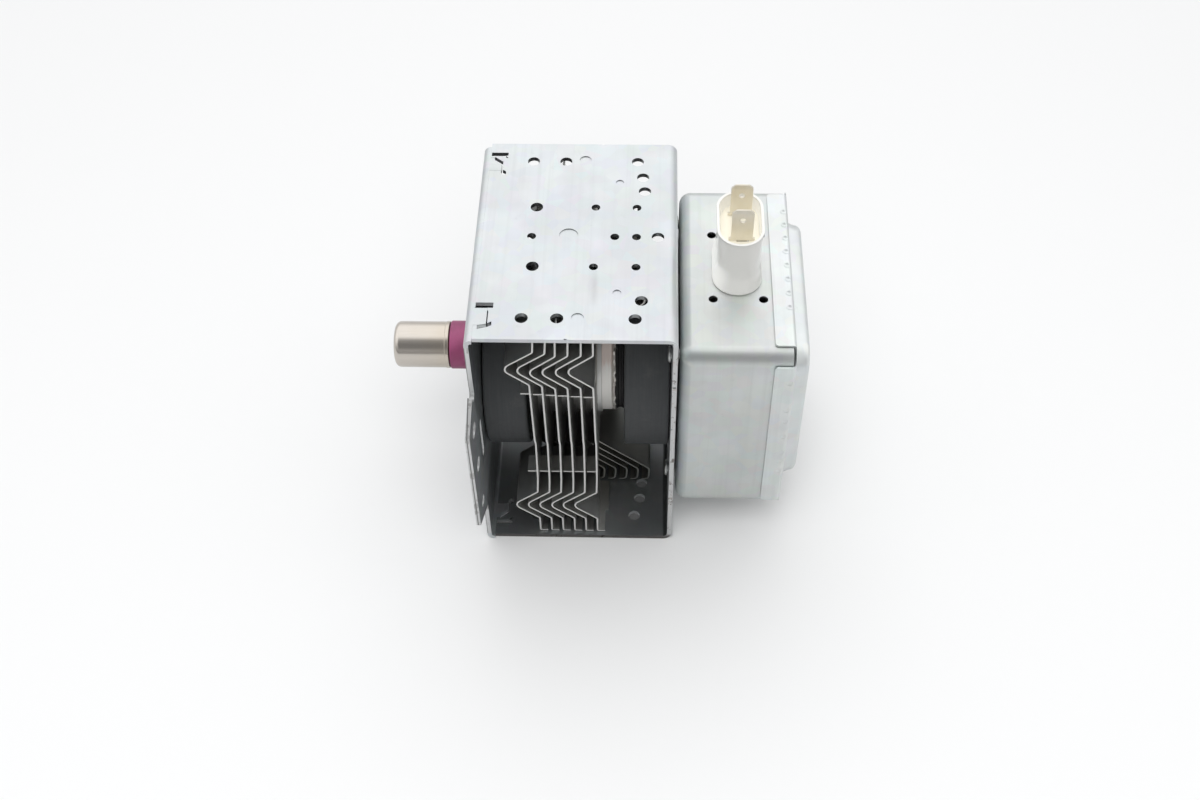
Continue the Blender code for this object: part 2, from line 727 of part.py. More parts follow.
def magnets():
    for name, start in (("magnet_output", MAGNET_OUT_START), ("magnet_input", MAGNET_IN_START)):
        profile = ring_profile(
            MAGNET_DIAMETER / 2,
            MAGNET_BORE / 2,
            start,
            start + MAGNET_THICKNESS,
            MAGNET_CHAMFER,
        )
        turned(name, profile, FERRITE)


def spacer_ring():
    inner = INPUT_SLEEVE_RADIUS + 2 * FIT
    end = MAGNET_IN_START - FIT
    turned("spacer_ring", ring_profile(SPACER_RADIUS, inner, SPACER_START, end), BLACK_RING)


def anode_block():
    """The copper cylinder with its vanes, open at both ends, with seats for the pole pieces."""
    bore = ANODE_BORE / 2
    seat = bore + SEAT_STEP
    profile = [
        (ANODE_RADIUS, ANODE_END),
        (ANODE_RADIUS, ANODE_START),
        (seat, ANODE_START),
        (seat, ANODE_START + SEAT_DEPTH),
        (bore, ANODE_START + SEAT_DEPTH),
        (bore, ANODE_END - SEAT_DEPTH),
        (seat, ANODE_END - SEAT_DEPTH),
        (seat, ANODE_END),
    ]
    obj = turned("anode_block", profile, COPPER)
    root = (bore + ANODE_RADIUS) / 2
    edit = bmesh.new()
    for k in range(VANE_COUNT):
        turn = Matrix.Rotation(2 * math.pi * k / VANE_COUNT, 4, "X")
        size = (VANE_HEIGHT, VANE_THICKNESS, root - CAVITY_DIAMETER / 2)
        middle = Vector((ANODE_MIDDLE, 0, (root + CAVITY_DIAMETER / 2) / 2))
        matrix = turn @ Matrix.Translation(middle) @ Matrix.Diagonal((*size, 1))
        bmesh.ops.create_cube(edit, size=1.0, matrix=matrix)
    combine(obj, helper("vanes", mesh_from(edit, "vanes")), "UNION")
    inner, outer, depth = strap_groove()
    grooves = []
    for face in (VANE_START, VANE_END):
        cut = turned("groove", ring_profile(outer, inner, face - depth, face + depth), COPPER)
        grooves.append(finished_mesh(cut))
    cutter = helper("strap_grooves", joined("strap_grooves", grooves))
    cutter.rotation_euler = (0, math.radians(90), 0)
    combine(obj, cutter, "DIFFERENCE")


def strap_groove():
    """Inner radius, outer radius and depth of the groove for two straps in each vane end."""
    outer = STRAP_INNER + 2 * STRAP_THICKNESS + 3 * FIT
    return STRAP_INNER - FIT, outer, STRAP_DEPTH + FIT


def straps():
    for end, face, outward in (("output", VANE_START, -1), ("input", VANE_END, 1)):
        floor = face - outward * STRAP_DEPTH
        low, high = sorted((floor, floor + outward * STRAP_DEPTH))
        for k, place_name in enumerate(("inner", "outer")):
            inner = STRAP_INNER + k * (STRAP_THICKNESS + FIT)
            profile = ring_profile(inner + STRAP_THICKNESS, inner, low, high)
            turned(f"strap_{end}_{place_name}", profile, COPPER, segments=20)


def pole_profile(face, inward):
    """A funnel of sheet iron: a flange on the anode's seat and a cone towards the cathode."""
    flange = ANODE_BORE / 2 + SEAT_STEP - FIT
    hole = POLE_HOLE / 2
    points = [
        (flange, 0),
        (flange, POLE_SHEET),
        (POLE_SHOULDER, POLE_SHEET),
        (hole + 1.4 * POLE_SHEET, POLE_DEPTH),
        (hole, POLE_DEPTH),
        (hole, POLE_DEPTH - POLE_SHEET),
        (POLE_SHOULDER - POLE_SHEET, 0),
    ]
    return [(radius, face + inward * depth) for radius, depth in points]


def pole_pieces():
    output = turned("pole_piece_output", pole_profile(ANODE_START, 1), IRON)
    turned("pole_piece_input", pole_profile(ANODE_END, -1), IRON)
    bore = rod_mesh(LEAD_DIAMETER * 0.8, -POLE_DEPTH, POLE_DEPTH)
    slant = Matrix.Rotation(math.radians(-45), 4, "Y")
    bore.transform(Matrix.Translation((LEAD_BEND_X - LEAD_DIAMETER, 0, LEAD_START_RADIUS - LEAD_DIAMETER)) @ slant)
    combine(output, helper("lead_hole", bore), "DIFFERENCE")


def seal_sleeves():
    """Thin steel tubes that carry the vacuum wall out through the magnets."""
    flange_end = SEAL_OUT_START + SEAL_FLANGE
    radius = OUTPUT_SLEEVE_RADIUS
    profile = [
        (SEAL_FLANGE_RADIUS, flange_end),
        (SEAL_FLANGE_RADIUS, SEAL_OUT_START),
        (radius, SEAL_OUT_START),
        (radius, -SLEEVE_OUT_REACH),
        (radius - SEAL_WALL, -SLEEVE_OUT_REACH),
        (radius - SEAL_WALL, flange_end),
    ]
    turned("seal_sleeve_output", profile, SEAL_STEEL)
    flange_end = SEAL_IN_START + SEAL_FLANGE
    radius = INPUT_SLEEVE_RADIUS
    end = YOKE_LENGTH + SLEEVE_IN_REACH
    profile = [
        (radius, end),
        (radius, flange_end),
        (SEAL_FLANGE_RADIUS, flange_end),
        (SEAL_FLANGE_RADIUS, SEAL_IN_START),
        (radius - SEAL_WALL, SEAL_IN_START),
        (radius - SEAL_WALL, end),
    ]
    turned("seal_sleeve_input", profile, SEAL_STEEL)


def output_ceramic():
    radius = CERAMIC_DIAMETER / 2
    end = CERAMIC_START - CERAMIC_LENGTH
    profile = ring_profile(radius, radius - CERAMIC_WALL, end, CERAMIC_START, FIT)
    turned("output_ceramic", profile, PURPLE_CERAMIC)


def antenna_cap():
    """A drawn cup, open towards the ceramic, with a rolled rim and a rounded end."""
    radius = CAP_DIAMETER / 2
    tip = CAP_START - CAP_LENGTH
    inner = radius - CAP_WALL
    bend = arc((tip + CAP_CORNER, radius - CAP_CORNER), CAP_CORNER, 90, 180, 4)
    hollow = arc((tip + CAP_CORNER, radius - CAP_CORNER), CAP_CORNER - CAP_WALL, 180, 90, 3)
    profile = [
        (0, tip + CAP_WALL),
        *[(r, x) for x, r in hollow],
        (inner, CAP_START),
        (radius + FIT / 2, CAP_START),
        (radius + FIT / 2, CAP_START - CAP_RIM),
        (radius, CAP_START - CAP_RIM - FIT / 2),
        *[(r, x) for x, r in bend],
        (0, tip),
    ]
    turned("antenna_cap", profile, NICKEL)


def exhaust_tube():
    """The copper tube through which the tube was pumped out, pinched on the antenna lead."""
    flange = CAP_DIAMETER / 2 - CAP_WALL - FIT
    radius = EXHAUST_DIAMETER / 2
    pinch = LEAD_DIAMETER / 2 + FIT
    neck = CAP_START - EXHAUST_LENGTH + PINCH_LENGTH
    tip = CAP_START - EXHAUST_LENGTH
    profile = [
        (flange, CAP_START),
        (flange, CAP_START - EXHAUST_WALL),
        (radius, CAP_START - EXHAUST_WALL),
        (radius, neck),
        (pinch + EXHAUST_WALL, tip),
        (pinch, tip),
        (radius - EXHAUST_WALL, neck),
        (radius - EXHAUST_WALL, CAP_START),
    ]
    turned("exhaust_tube", profile, COPPER, segments=20)


def antenna_lead():
    """The copper lead from one vane, through the pole piece and along the axis to the pinch."""
    corners = [
        (VANE_START - FIT, LEAD_START_RADIUS),
        (LEAD_BEND_X, LEAD_START_RADIUS),
        (LEAD_BEND_X - LEAD_START_RADIUS, 0),
        (CAP_START - EXHAUST_LENGTH, 0),
    ]
    path = rounded(corners, [LEAD_DIAMETER, 2 * LEAD_DIAMETER], 3)
    wire("antenna_lead", [(x, 0, z) for x, z in path], LEAD_DIAMETER / 2, COPPER)


def gasket():
    """The woven ring that seals the antenna's opening, on its stamped retainer."""
    inner = OUTPUT_SLEEVE_RADIUS + FIT
    sheet = RETAINER_SHEET
    reach = GASKET_THICKNESS
    profile = [
        (GASKET_DIAMETER / 2 - 2 * FIT, -FIT),
        (GASKET_DIAMETER / 2 - 2 * FIT, -FIT - sheet),
        (inner + sheet, -FIT - sheet),
        (inner + sheet, -FIT - reach),
        (inner, -FIT - reach),
        (inner, -FIT),
    ]
    turned("gasket_retainer", profile, SEAL_STEEL)
    start = -2 * FIT - sheet - reach
    end = -2 * FIT - sheet
    profile = ring_profile(GASKET_DIAMETER / 2, inner + sheet + FIT, start, end, reach / 4)
    turned("rf_gasket", profile, MESH_WIRE)


def cathode():
    """The heater coil between its two end hats, and the two leads that carry it."""
    out_hat = VANE_START - HAT_THICKNESS
    in_hat = VANE_END
    bore = CATHODE_LEAD_RADIUS + FIT
    profile = ring_profile(HAT_RADIUS, bore, out_hat, out_hat + HAT_THICKNESS)
    turned("end_hat_output", profile, TUNGSTEN, segments=20)
    profile = ring_profile(HAT_RADIUS + FIT, bore, in_hat, in_hat + HAT_THICKNESS)
    turned("end_hat_input", profile, TUNGSTEN, segments=20)
    start = VANE_START + FIT + FILAMENT_WIRE / 2
    end = VANE_END - FIT - FILAMENT_WIRE / 2
    radius = FILAMENT_DIAMETER / 2
    points = []
    count = FILAMENT_TURNS * COIL_STEPS
    for k in range(count + 1):
        angle = 2 * math.pi * k / COIL_STEPS
        x = start + (end - start) * k / count
        points.append((x, radius * math.cos(angle), radius * math.sin(angle)))
    wire("cathode_filament", points, FILAMENT_WIRE / 2, TUNGSTEN)
    lead_end = STEM_END + FIT + TERMINAL_SHEET
    rod = rod_mesh(CATHODE_LEAD_RADIUS, out_hat - 2 * FIT, lead_end)
    place("cathode_centre_lead", rod, TUNGSTEN)
    start = in_hat + HAT_THICKNESS + FIT
    rod = rod_mesh(CATHODE_LEAD_RADIUS, start, lead_end, z=-SIDE_LEAD_OFFSET)
    place("cathode_side_lead", rod, TUNGSTEN)


def stem():
    """The ceramic that the two cathode leads pass through, and the strips on their ends."""
    body = rod_mesh(STEM_RADIUS, STEM_START, STEM_END, segments=SEGMENTS)
    obj = place("stem_ceramic", body, WHITE_CERAMIC)
    bores = []
    for z in (0, -SIDE_LEAD_OFFSET):
        bores.append(rod_mesh(CATHODE_LEAD_RADIUS + FIT, STEM_START - FIT, STEM_END + FIT, z=z))
    combine(obj, helper("lead_bores", joined("lead_bores", bores)), "DIFFERENCE")
    half = TERMINAL_WIDTH / 2
    middle = TERMINAL_START + TERMINAL_SHEET / 2
    for number, (side, z) in enumerate(((1, 0), (-1, -SIDE_LEAD_OFFSET)), start=1):
        strip = [(-half, z - half), (TERMINAL_REACH, z - half), (TERMINAL_REACH, z + half)]
        strip += [(-half, z + half)]
        outlines = [strip, circle((0, z), 2 * (CATHODE_LEAD_RADIUS + FIT))]
        outlines = [[(side * y, z) for y, z in outline] for outline in outlines]
        plate = outline_mesh(outlines, TERMINAL_SHEET / 2)
        plate.transform(Matrix(((0, 0, 1, 0), (1, 0, 0, 0), (0, 1, 0, 0), (0, 0, 0, 1))))
        place(f"cathode_terminal_{number}", plate, SEAL_STEEL, location=(middle, 0, 0))


def fold_path(foot):
    """The lower folded end of a fin, from the flat of the fin down to its foot, as (x, z)."""
    floor = -(INSIDE_HEIGHT - FIT - FIN_SHEET / 2)
    corners = [
        (0, floor + FOLD_START + FIN_BEND),
        (0, floor + FOLD_START),
        (-FOLD_REACH, floor + FOLD_TIP),
        (0, floor + FOLD_END),
        (0, floor),
        (foot, floor),
    ]
    bends = [FIN_BEND, FOLD_TIP_BEND, FIN_BEND, FIN_SHEET]
    return rounded(corners[:3] + corners[3:], bends, 2)


def wing_path():
    """The lower middle of a fin, swept out as an air guide that ends in a foot."""
    floor = -(INSIDE_HEIGHT - FIT - FIN_SHEET / 2)
    corners = [
        (0, floor + FOLD_START + FIN_BEND),
        (0, floor + FOLD_START),
        (WING_REACH, floor + WING_END),
        (WING_REACH, floor),
        (WING_REACH - FOOT_SHORT, floor),
    ]
    return rounded(corners, [FIN_BEND, WING_BEND, FIN_SHEET], 2)


def fin_surface():
    """The fin's middle surface: a flat with two folded tongues and a wing at the top and bottom."""
    edit = bmesh.new()
    edge = FIN_DEPTH / 2
    lines = [-edge, -FIN_SLIT_LINE, FIN_SLIT - FIN_SLIT_LINE, FIN_SLIT_LINE - FIN_SLIT, FIN_SLIT_LINE, edge]
    top = INSIDE_HEIGHT - FIT - FIN_SHEET / 2 - FOLD_START - FIN_BEND
    rows = {}
    for up in (-1, 1):
        rows[up] = [edit.verts.new((0, y, up * top)) for y in lines]
    edit.faces.new(rows[-1] + rows[1][::-1])
    for up in (-1, 1):
        for k, path in ((0, fold_path(FOOT_SHORT)), (2, wing_path()), (4, fold_path(FOOT_SHORT))):
            flipped = [(x, -up * z) for x, z in path]
            shared = (rows[up][k], rows[up][k + 1])
            low, high = ribbon(edit, flipped, lines[k], lines[k + 1], shared)
            if k != 2:
                inner = low if k == 4 else high
                outer = high if k == 4 else low
                long_foot(edit, inner, outer, up)
    bmesh.ops.recalc_face_normals(edit, faces=edit.faces)
    return mesh_from(edit, "fin_surface")


def long_foot(edit, inner, outer, up):
    """Lengthens a tongue's foot over the part of it nearer the slit."""
    line = math.copysign(FOOT_STEP_LINE, outer[0].co.y)
    share = (line - inner[-1].co.y) / (outer[-1].co.y - inner[-1].co.y)
    step_edge = edit.edges.get((inner[-1], outer[-1]))
    _, step = bmesh.utils.edge_split(step_edge, inner[-1], share)
    z = inner[-1].co.z
    ends = [edit.verts.new((FOOT_LONG, vert.co.y, z)) for vert in (inner[-1], step)]
    edit.faces.new((inner[-1], step, ends[1], ends[0]))


def fin_mesh():
    """One fin as a closed sheet: the folded surface, its collar and its lanced air guides."""
    surface = place("fin_surface", fin_surface(), ALUMINIUM)
    thicken(surface, FIN_SHEET)
    bore = ANODE_RADIUS + FIT
    collar = turned(
        "collar",
        ring_profile(bore + COLLAR_WALL, bore - COLLAR_WALL, 0, COLLAR_REACH),
        ALUMINIUM,
        segments=24,
    )
    collar_mesh = finished_mesh(collar)
    collar_mesh.transform(Matrix.Rotation(math.radians(90), 4, "Y"))
    added = [collar_mesh]
    windows = []
    half = FIN_SHEET / 2
    for side in (-1, 1):
        low, high = sorted((side * GUIDE_FRONT, side * (GUIDE_FRONT - GUIDE_DEPTH)))
        for up in (-1, 1):
            z = up * GUIDE_HEIGHT
            added.append(box_mesh("guide", (-GUIDE_REACH, low, z - half), (0, high, z + half)))
            near, far = sorted((z + up * half, z + up * (half + GUIDE_REACH)))
            windows.append(box_mesh("window", (-FIN_SHEET, low, near), (FIN_SHEET, high, far)))
    combine(surface, helper("fin_added", joined("fin_added", added)), "UNION")
    windows.append(rod_mesh(bore, -COLLAR_REACH, 2 * COLLAR_REACH, segments=24))
    combine(surface, helper("fin_cuts", joined("fin_cuts", windows)), "DIFFERENCE")
    mesh = finished_mesh(surface)
    smooth(mesh)
    return mesh


def cooling_fins():
    mesh = fin_mesh()
    mesh.name = "cooling_fin"
    for k in range(FIN_COUNT):
        x = ANODE_START + FIN_FIRST + k * FIN_PITCH
        place(f"cooling_fin_{k + 1}", mesh, ALUMINIUM, location=(x, 0, 0))


def rounded_loop(edit, x, half_y, half_z, corner, steps=3):
    """A loop of points round a rectangle with rounded corners, across the tube at x."""
    points = []
    for start, side_y, side_z in ((0, 1, 1), (90, -1, 1), (180, -1, -1), (270, 1, -1)):
        centre = (side_y * (half_y - corner), side_z * (half_z - corner))
        points += arc(centre, corner, start, start + 90, steps)
    return [edit.verts.new((x, y, z)) for y, z in points]


def drawn_shell(name, loops, finish, sheet):
    """A drawn cup: a skin through the loops, closed at the last one, given the sheet's thickness."""
    edit = bmesh.new()
    rings = [rounded_loop(edit, *loop) for loop in loops]
    for ring, following in zip(rings, rings[1:]):
        count = len(ring)
        for k in range(count):
            edit.faces.new((ring[k], ring[(k + 1) % count], following[(k + 1) % count], following[k]))
    edit.faces.new(rings[-1])
    bmesh.ops.recalc_face_normals(edit, faces=edit.faces)
    obj = place(name, mesh_from(edit, name), finish)
    thicken(obj, sheet)
    return obj


def rivet_places():
    return [(y, z) for y in (-RIVET_Y, RIVET_Y) for z in (-RIVET_Z, RIVET_Z)]


def supply_slots(margin):
    """Outlines round the necks of the two supply terminals, with a margin to each side."""
    outlines = []
    for side in (-1, 1):
        x, y = NECK_WIDTH / 2 + margin, TAB_SHEET / 2 + margin
        middle = side * TAB_SPACING / 2
        outlines.append([(-x, middle - y), (x, middle - y), (x, middle + y), (-x, middle + y)])
    return outlines


def vent_outlines(diameter):
    return [circle((x, y), diameter) for x in (-VENT_X, VENT_X) for y in (-VENT_Y, VENT_Y)]


def filter_box_case():
    """The drawn case, open towards +X, with holes for the stem, rivets and capacitor."""
    half = BOX_SHEET / 2
    y = BOX_DEPTH / 2 - half
    z = BOX_TOP - half
    floor = BOX_START + half
    bend = BOX_FLOOR_BEND
    corner = BOX_CORNER - half
    slope = bend * (1 - math.sqrt(0.5))
    loops = [
        (BOX_END, y, z, corner),
        (floor + bend, y, z, corner),
        (floor + slope, y - slope, z - slope, corner - slope),
        (floor, y - bend, z - bend, corner - bend),
    ]
    obj = drawn_shell("filter_box_case", loops, GALVANISED, BOX_SHEET)
    wall = [circle((0, 0), 2 * (INPUT_SLEEVE_RADIUS + 2 * FIT), SEGMENTS)]
    for place_y, place_z in rivet_places():
        wall.append(circle((place_y, place_z), 2 * (RIVET_SHANK + FIT)))
    combine(obj, cutter_plate(wall, (floor, 0, 0), BOX_SHEET, facing="X"), "DIFFERENCE")
    slot_width = NECK_WIDTH + 4 * TAB_SHEET
    slot = stadium(slot_width, TAB_SPACING + slot_width)
    top = cutter_plate([slot] + vent_outlines(VENT_HOLE), (SUPPLY_X, SUPPLY_Y, z), BOX_SHEET)
    combine(obj, top, "DIFFERENCE")


def filter_box_lid():
    """The lid: a skirt over the case's open end, notched at the corners, and a raised panel."""
    half = BOX_SHEET / 2
    y = BOX_DEPTH / 2 + FIT + half
    z = BOX_TOP + FIT + half
    corner = BOX_CORNER + FIT + half
    face = BOX_END + FIT + half
    panel_y, panel_z = LID_PANEL_Y, LID_PANEL_Z
    rise = LID_PANEL_RISE
    loops = [
        (BOX_END - LID_OVERLAP, y, z, corner),
        (face - BOX_SHEET, y, z, corner),
        (face, y - BOX_SHEET, z - BOX_SHEET, corner - BOX_SHEET),
        (face, panel_y + half, panel_z + half, LID_PANEL_CORNER + half),
        (face + half, panel_y, panel_z, LID_PANEL_CORNER),
        (face + rise - 2 * half, panel_y - rise / 4, panel_z - rise / 4, LID_PANEL_CORNER),
        (face + rise, panel_y - rise / 2, panel_z - rise / 2, LID_PANEL_CORNER - rise / 4),
    ]
    obj = drawn_shell("filter_box_lid", loops, GALVANISED, BOX_SHEET)
    low = BOX_END - 2 * LID_OVERLAP
    high = face - half - BOX_SHEET / 2
    blocks = []
    beyond = BOX_HEIGHT
    for side in (-1, 1):
        near, far = sorted((side * (BOX_DEPTH / 2 - LID_NOTCH_TOP), side * beyond))
        blocks.append(box_mesh("notch", (low, near, BOX_TOP - LID_NOTCH_SIDE), (high, far, beyond)))
        near, far = sorted((side * (BOX_DEPTH / 2 - LID_NOTCH_TOP), side * beyond))
        blocks.append(box_mesh("notch", (low, near, -beyond), (high, far, LID_NOTCH_BELOW - BOX_TOP)))
    combine(obj, helper("lid_notches", joined("lid_notches", blocks)), "DIFFERENCE")


def rivets():
    """Four shouldered rivets that hold the filter box a little off the yoke's wall."""
    inside = WALL_INSIDE - FIT
    case_inside = BOX_START + BOX_SHEET + FIT
    profile = [
        (0, case_inside + RIVET_HEAD_HEIGHT),
        (RIVET_HEAD * 0.7, case_inside + RIVET_HEAD_HEIGHT),
        (RIVET_HEAD, case_inside),
        (RIVET_SHANK, case_inside),
        (RIVET_SHANK, BOX_START - FIT),
        (RIVET_HEAD, BOX_START - FIT),
        (RIVET_HEAD, YOKE_LENGTH + FIT),
        (RIVET_SHANK, YOKE_LENGTH + FIT),
        (RIVET_SHANK, inside),
        (RIVET_HEAD, inside),
        (RIVET_HEAD * 0.7, inside - RIVET_HEAD_HEIGHT),
        (0, inside - RIVET_HEAD_HEIGHT),
    ]
    for number, (y, z) in enumerate(rivet_places(), start=1):
        obj = turned(f"case_rivet_{number}", profile, SEAL_STEEL, segments=SMALL_SEGMENTS)
        obj.location = (0, y, z)


def capacitor_shell():
    """The moulded insulator on the box: a drafted stadium with a recess round the tabs."""
    height = SHELL_RISE
    outline = stadium(SHELL_WIDTH, SHELL_LENGTH)
    body = outline_mesh([outline], height / 2)
    for vert in body.vertices:
        if vert.co.z > 0:
            vert.co.x *= 1 - 2 * SHELL_DRAFT / SHELL_WIDTH
            vert.co.y *= 1 - 2 * SHELL_DRAFT / SHELL_LENGTH
    obj = place("capacitor_shell", body, CREAM_PLASTIC, (SUPPLY_X, SUPPLY_Y, SHELL_START + height / 2))
    trim = 2 * (SHELL_DRAFT + SHELL_WALL)
    recess = stadium(SHELL_WIDTH - trim, SHELL_LENGTH - trim)
    combine(
        obj,
        cutter_plate([recess], (SUPPLY_X, SUPPLY_Y, SHELL_FLOOR + SHELL_RECESS), SHELL_RECESS),
        "DIFFERENCE",
    )
    slots = cutter_plate(supply_slots(FIT), (SUPPLY_X, SUPPLY_Y, SHELL_START + height / 2), height)
    combine(obj, slots, "DIFFERENCE")


def capacitor_inside():
    """Under the case's top wall: the earthing plate, the ceramic block and the inner case."""
    x, y = GROUND_WIDTH / 2, GROUND_LENGTH / 2
    plate = [(-x, -y), (x, -y), (x, y), (-x, y)]
    neck_hole = NECK_WIDTH + 4 * TAB_SHEET
    holes = [circle((0, side * TAB_SPACING / 2), neck_hole) for side in (-1, 1)]
    holes += vent_outlines(VENT_HOLE + 2 * FIT)
    mesh = outline_mesh([plate] + holes, GROUND_SHEET / 2)
    place("capacitor_ground_plate", mesh, SEAL_STEEL, (SUPPLY_X, SUPPLY_Y, GROUND_TOP - GROUND_SHEET / 2))
    length = TAB_SPACING + 2 * BLOCK_MARGIN
    blocks = (
        ("capacitor_ceramic", CERAMIC_BLOCK_WIDTH, length, CERAMIC_BLOCK_TOP, CERAMIC_BLOCK_HEIGHT),
        ("capacitor_inner_case", INNER_CASE_WIDTH, length - FIT, INNER_CASE_TOP, INNER_CASE_HEIGHT),
    )
    for name, width, block_length, top, height in blocks:
        outlines = [stadium(width, block_length)] + supply_slots(FIT)
        finish = WHITE_CERAMIC if name.endswith("ceramic") else CREAM_PLASTIC
        mesh = outline_mesh(outlines, height / 2)
        place(name, mesh, finish, (SUPPLY_X, SUPPLY_Y, top - height / 2))


def supply_terminals():
    """Two blades for push-on connectors, whose necks run down through the capacitor."""
    blade, shoulder, neck = TAB_WIDTH / 2, TAB_SHOULDER / 2, NECK_WIDTH / 2
    rise = TAB_FOOT + TAB_SHOULDER_HEIGHT
    half = [
        (neck, NECK_END),
        (neck, TAB_FOOT),
        (shoulder, TAB_FOOT),
        (shoulder, rise),
        (blade, rise),
        (blade, TAB_TOP - TAB_CHAMFER),
        (blade - TAB_CHAMFER, TAB_TOP),
    ]
    outline = half + [(-x, z) for x, z in half[::-1]]
    hole = circle((0, TAB_TOP - TAB_HOLE_DROP), TAB_HOLE)
    mesh = outline_mesh([outline, hole], TAB_SHEET / 2)
    for number, side in enumerate((-1, 1), start=1):
        place(
            f"supply_terminal_{number}",
            mesh,
            TINNED,
            (SUPPLY_X, SUPPLY_Y + side * TAB_SPACING / 2, 0),
            (math.radians(90), 0, 0),
        )


def chokes():
    """A ferrite core in each supply lead, with the lead wound round it as one wire."""
    middle = -CORE_DROP
    low = middle - CHOKE_TURNS * CHOKE_PITCH / 2
    near = CORE_X - COIL_RADIUS
    for number, side in enumerate((1, -1), start=1):
        rod = rod_mesh(CORE_RADIUS, -CORE_LENGTH / 2, CORE_LENGTH / 2)
        place(
            f"choke_core_{number}",
            rod,
            FERRITE,
            (CORE_X, side * CORE_Y, middle),
            (0, math.radians(90), 0),
        )
        wire_radius = CHOKE_WIRE / 2
        strip_z = 0 if side > 0 else -SIDE_LEAD_OFFSET
        start_x = TERMINAL_START + TERMINAL_SHEET + FIT + wire_radius
        strip_y = TERMINAL_REACH - wire_radius
        points = [
            (start_x, side * strip_y, strip_z),
            (start_x, side * (strip_y + 2 * wire_radius), (strip_z + low) / 2),
            (start_x + wire_radius, side * (strip_y + CORE_Y) / 2, low - wire_radius),
        ]
        count = CHOKE_TURNS * COIL_STEPS
        for k in range(count + 1):
            angle = math.pi + 2 * math.pi * k / COIL_STEPS
            points.append(
                (
                    CORE_X + COIL_RADIUS * math.cos(angle),
                    side * (CORE_Y + COIL_RADIUS * math.sin(angle)),
                    low + CHOKE_PITCH * k / COIL_STEPS,
                )
            )
        top = low + CHOKE_TURNS * CHOKE_PITCH
        end = NECK_END - FIT
        tab_y = TAB_SPACING / 2
        points += [
            (near, side * (CORE_Y + tab_y) / 2, (top + end) / 2),
            (SUPPLY_X, SUPPLY_Y + side * tab_y, end - 2 * CHOKE_WIRE),
            (SUPPLY_X, SUPPLY_Y + side * tab_y, end),
        ]
        wire(f"choke_coil_{number}", points, wire_radius, ENAMEL_WIRE)


clear_scene()
PIECES = new_collection("magnetron")
CUTTERS = new_collection("cutters")
AXIS = bpy.data.objects.new("tube_axis", None)
PIECES.objects.link(AXIS)
AXIS.location = (-YOKE_LENGTH / 2, 0, AXIS_HEIGHT)

yoke_frame()
yoke_end_plate()
magnets()
spacer_ring()
anode_block()
straps()
pole_pieces()
seal_sleeves()
output_ceramic()
antenna_cap()
exhaust_tube()
antenna_lead()
gasket()
cathode()
stem()
cooling_fins()
filter_box_case()
filter_box_lid()
rivets()
capacitor_shell()
capacitor_inside()
supply_terminals()
chokes()
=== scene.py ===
"""Studio scene of a microwave oven magnetron: detailed pieces and finishes round its solids.

Shapes are worked out in millimetres along the tube: x is the distance from the outer face of the
end plate, y and z are measured from the tube's axis. TUBE carries them to the row's frame.
Finishes name places in the row's frame, in metres.
"""

import math
import random

import bmesh
import bpy
from bpy.props import FloatProperty, FloatVectorProperty, IntProperty, PointerProperty
from mathutils import Matrix, Vector


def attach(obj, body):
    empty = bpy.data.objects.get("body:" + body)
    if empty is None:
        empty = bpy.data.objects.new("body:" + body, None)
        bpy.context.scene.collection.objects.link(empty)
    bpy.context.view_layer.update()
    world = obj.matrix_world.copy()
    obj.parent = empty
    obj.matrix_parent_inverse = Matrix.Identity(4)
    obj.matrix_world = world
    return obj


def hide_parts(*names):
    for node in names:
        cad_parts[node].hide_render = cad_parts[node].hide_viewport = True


bl_info = {
    "name": "Magnetron scene",
    "version": (1, 0, 0),
    "blender": (4, 5, 0),
    "location": "3D View > Sidebar > Magnetron",
    "description": "Builds the yoke, fins, tube, antenna and filter box of a magnetron",
    "category": "Object",
}

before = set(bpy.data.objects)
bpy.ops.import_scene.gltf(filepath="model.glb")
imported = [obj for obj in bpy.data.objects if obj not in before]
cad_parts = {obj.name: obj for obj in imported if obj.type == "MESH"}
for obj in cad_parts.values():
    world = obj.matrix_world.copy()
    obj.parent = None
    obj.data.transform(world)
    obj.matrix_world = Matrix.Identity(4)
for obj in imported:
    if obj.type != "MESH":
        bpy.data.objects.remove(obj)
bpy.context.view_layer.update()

MM = 0.001
PLATE_X = -30.0
AXIS_Z = 49.0
TUBE = Matrix.Scale(MM, 4) @ Matrix.Translation((PLATE_X, 0.0, AXIS_Z))
FIT = 0.3


# Shapes


def around(count):
    """The angles of equal steps round a circle."""
    return [2 * math.pi * k / count for k in range(count)]


def arc(centre, radius, start, end, steps):
    """Points on an arc, with both ends, angles in degrees."""
    angles = [math.radians(start + (end - start) * k / steps) for k in range(steps + 1)]
    return [(centre[0] + radius * math.cos(a), centre[1] + radius * math.sin(a)) for a in angles]


def circle(centre, diameter, steps=40):
    return arc(centre, diameter / 2, 0, 360, steps)[:-1]


def capsule(start, end, radius, steps=12):
    """The outline of a round-ended slot between two points."""
    angle = math.degrees(math.atan2(end[1] - start[1], end[0] - start[0]))
    far = arc(end, radius, angle - 90, angle + 90, steps)
    return far + arc(start, radius, angle + 90, angle + 270, steps)


def stadium(width, length):
    """A slot's outline round the origin: width along x, length along y, round ends."""
    reach = (length - width) / 2
    return capsule((0, -reach), (0, reach), width / 2, 20)


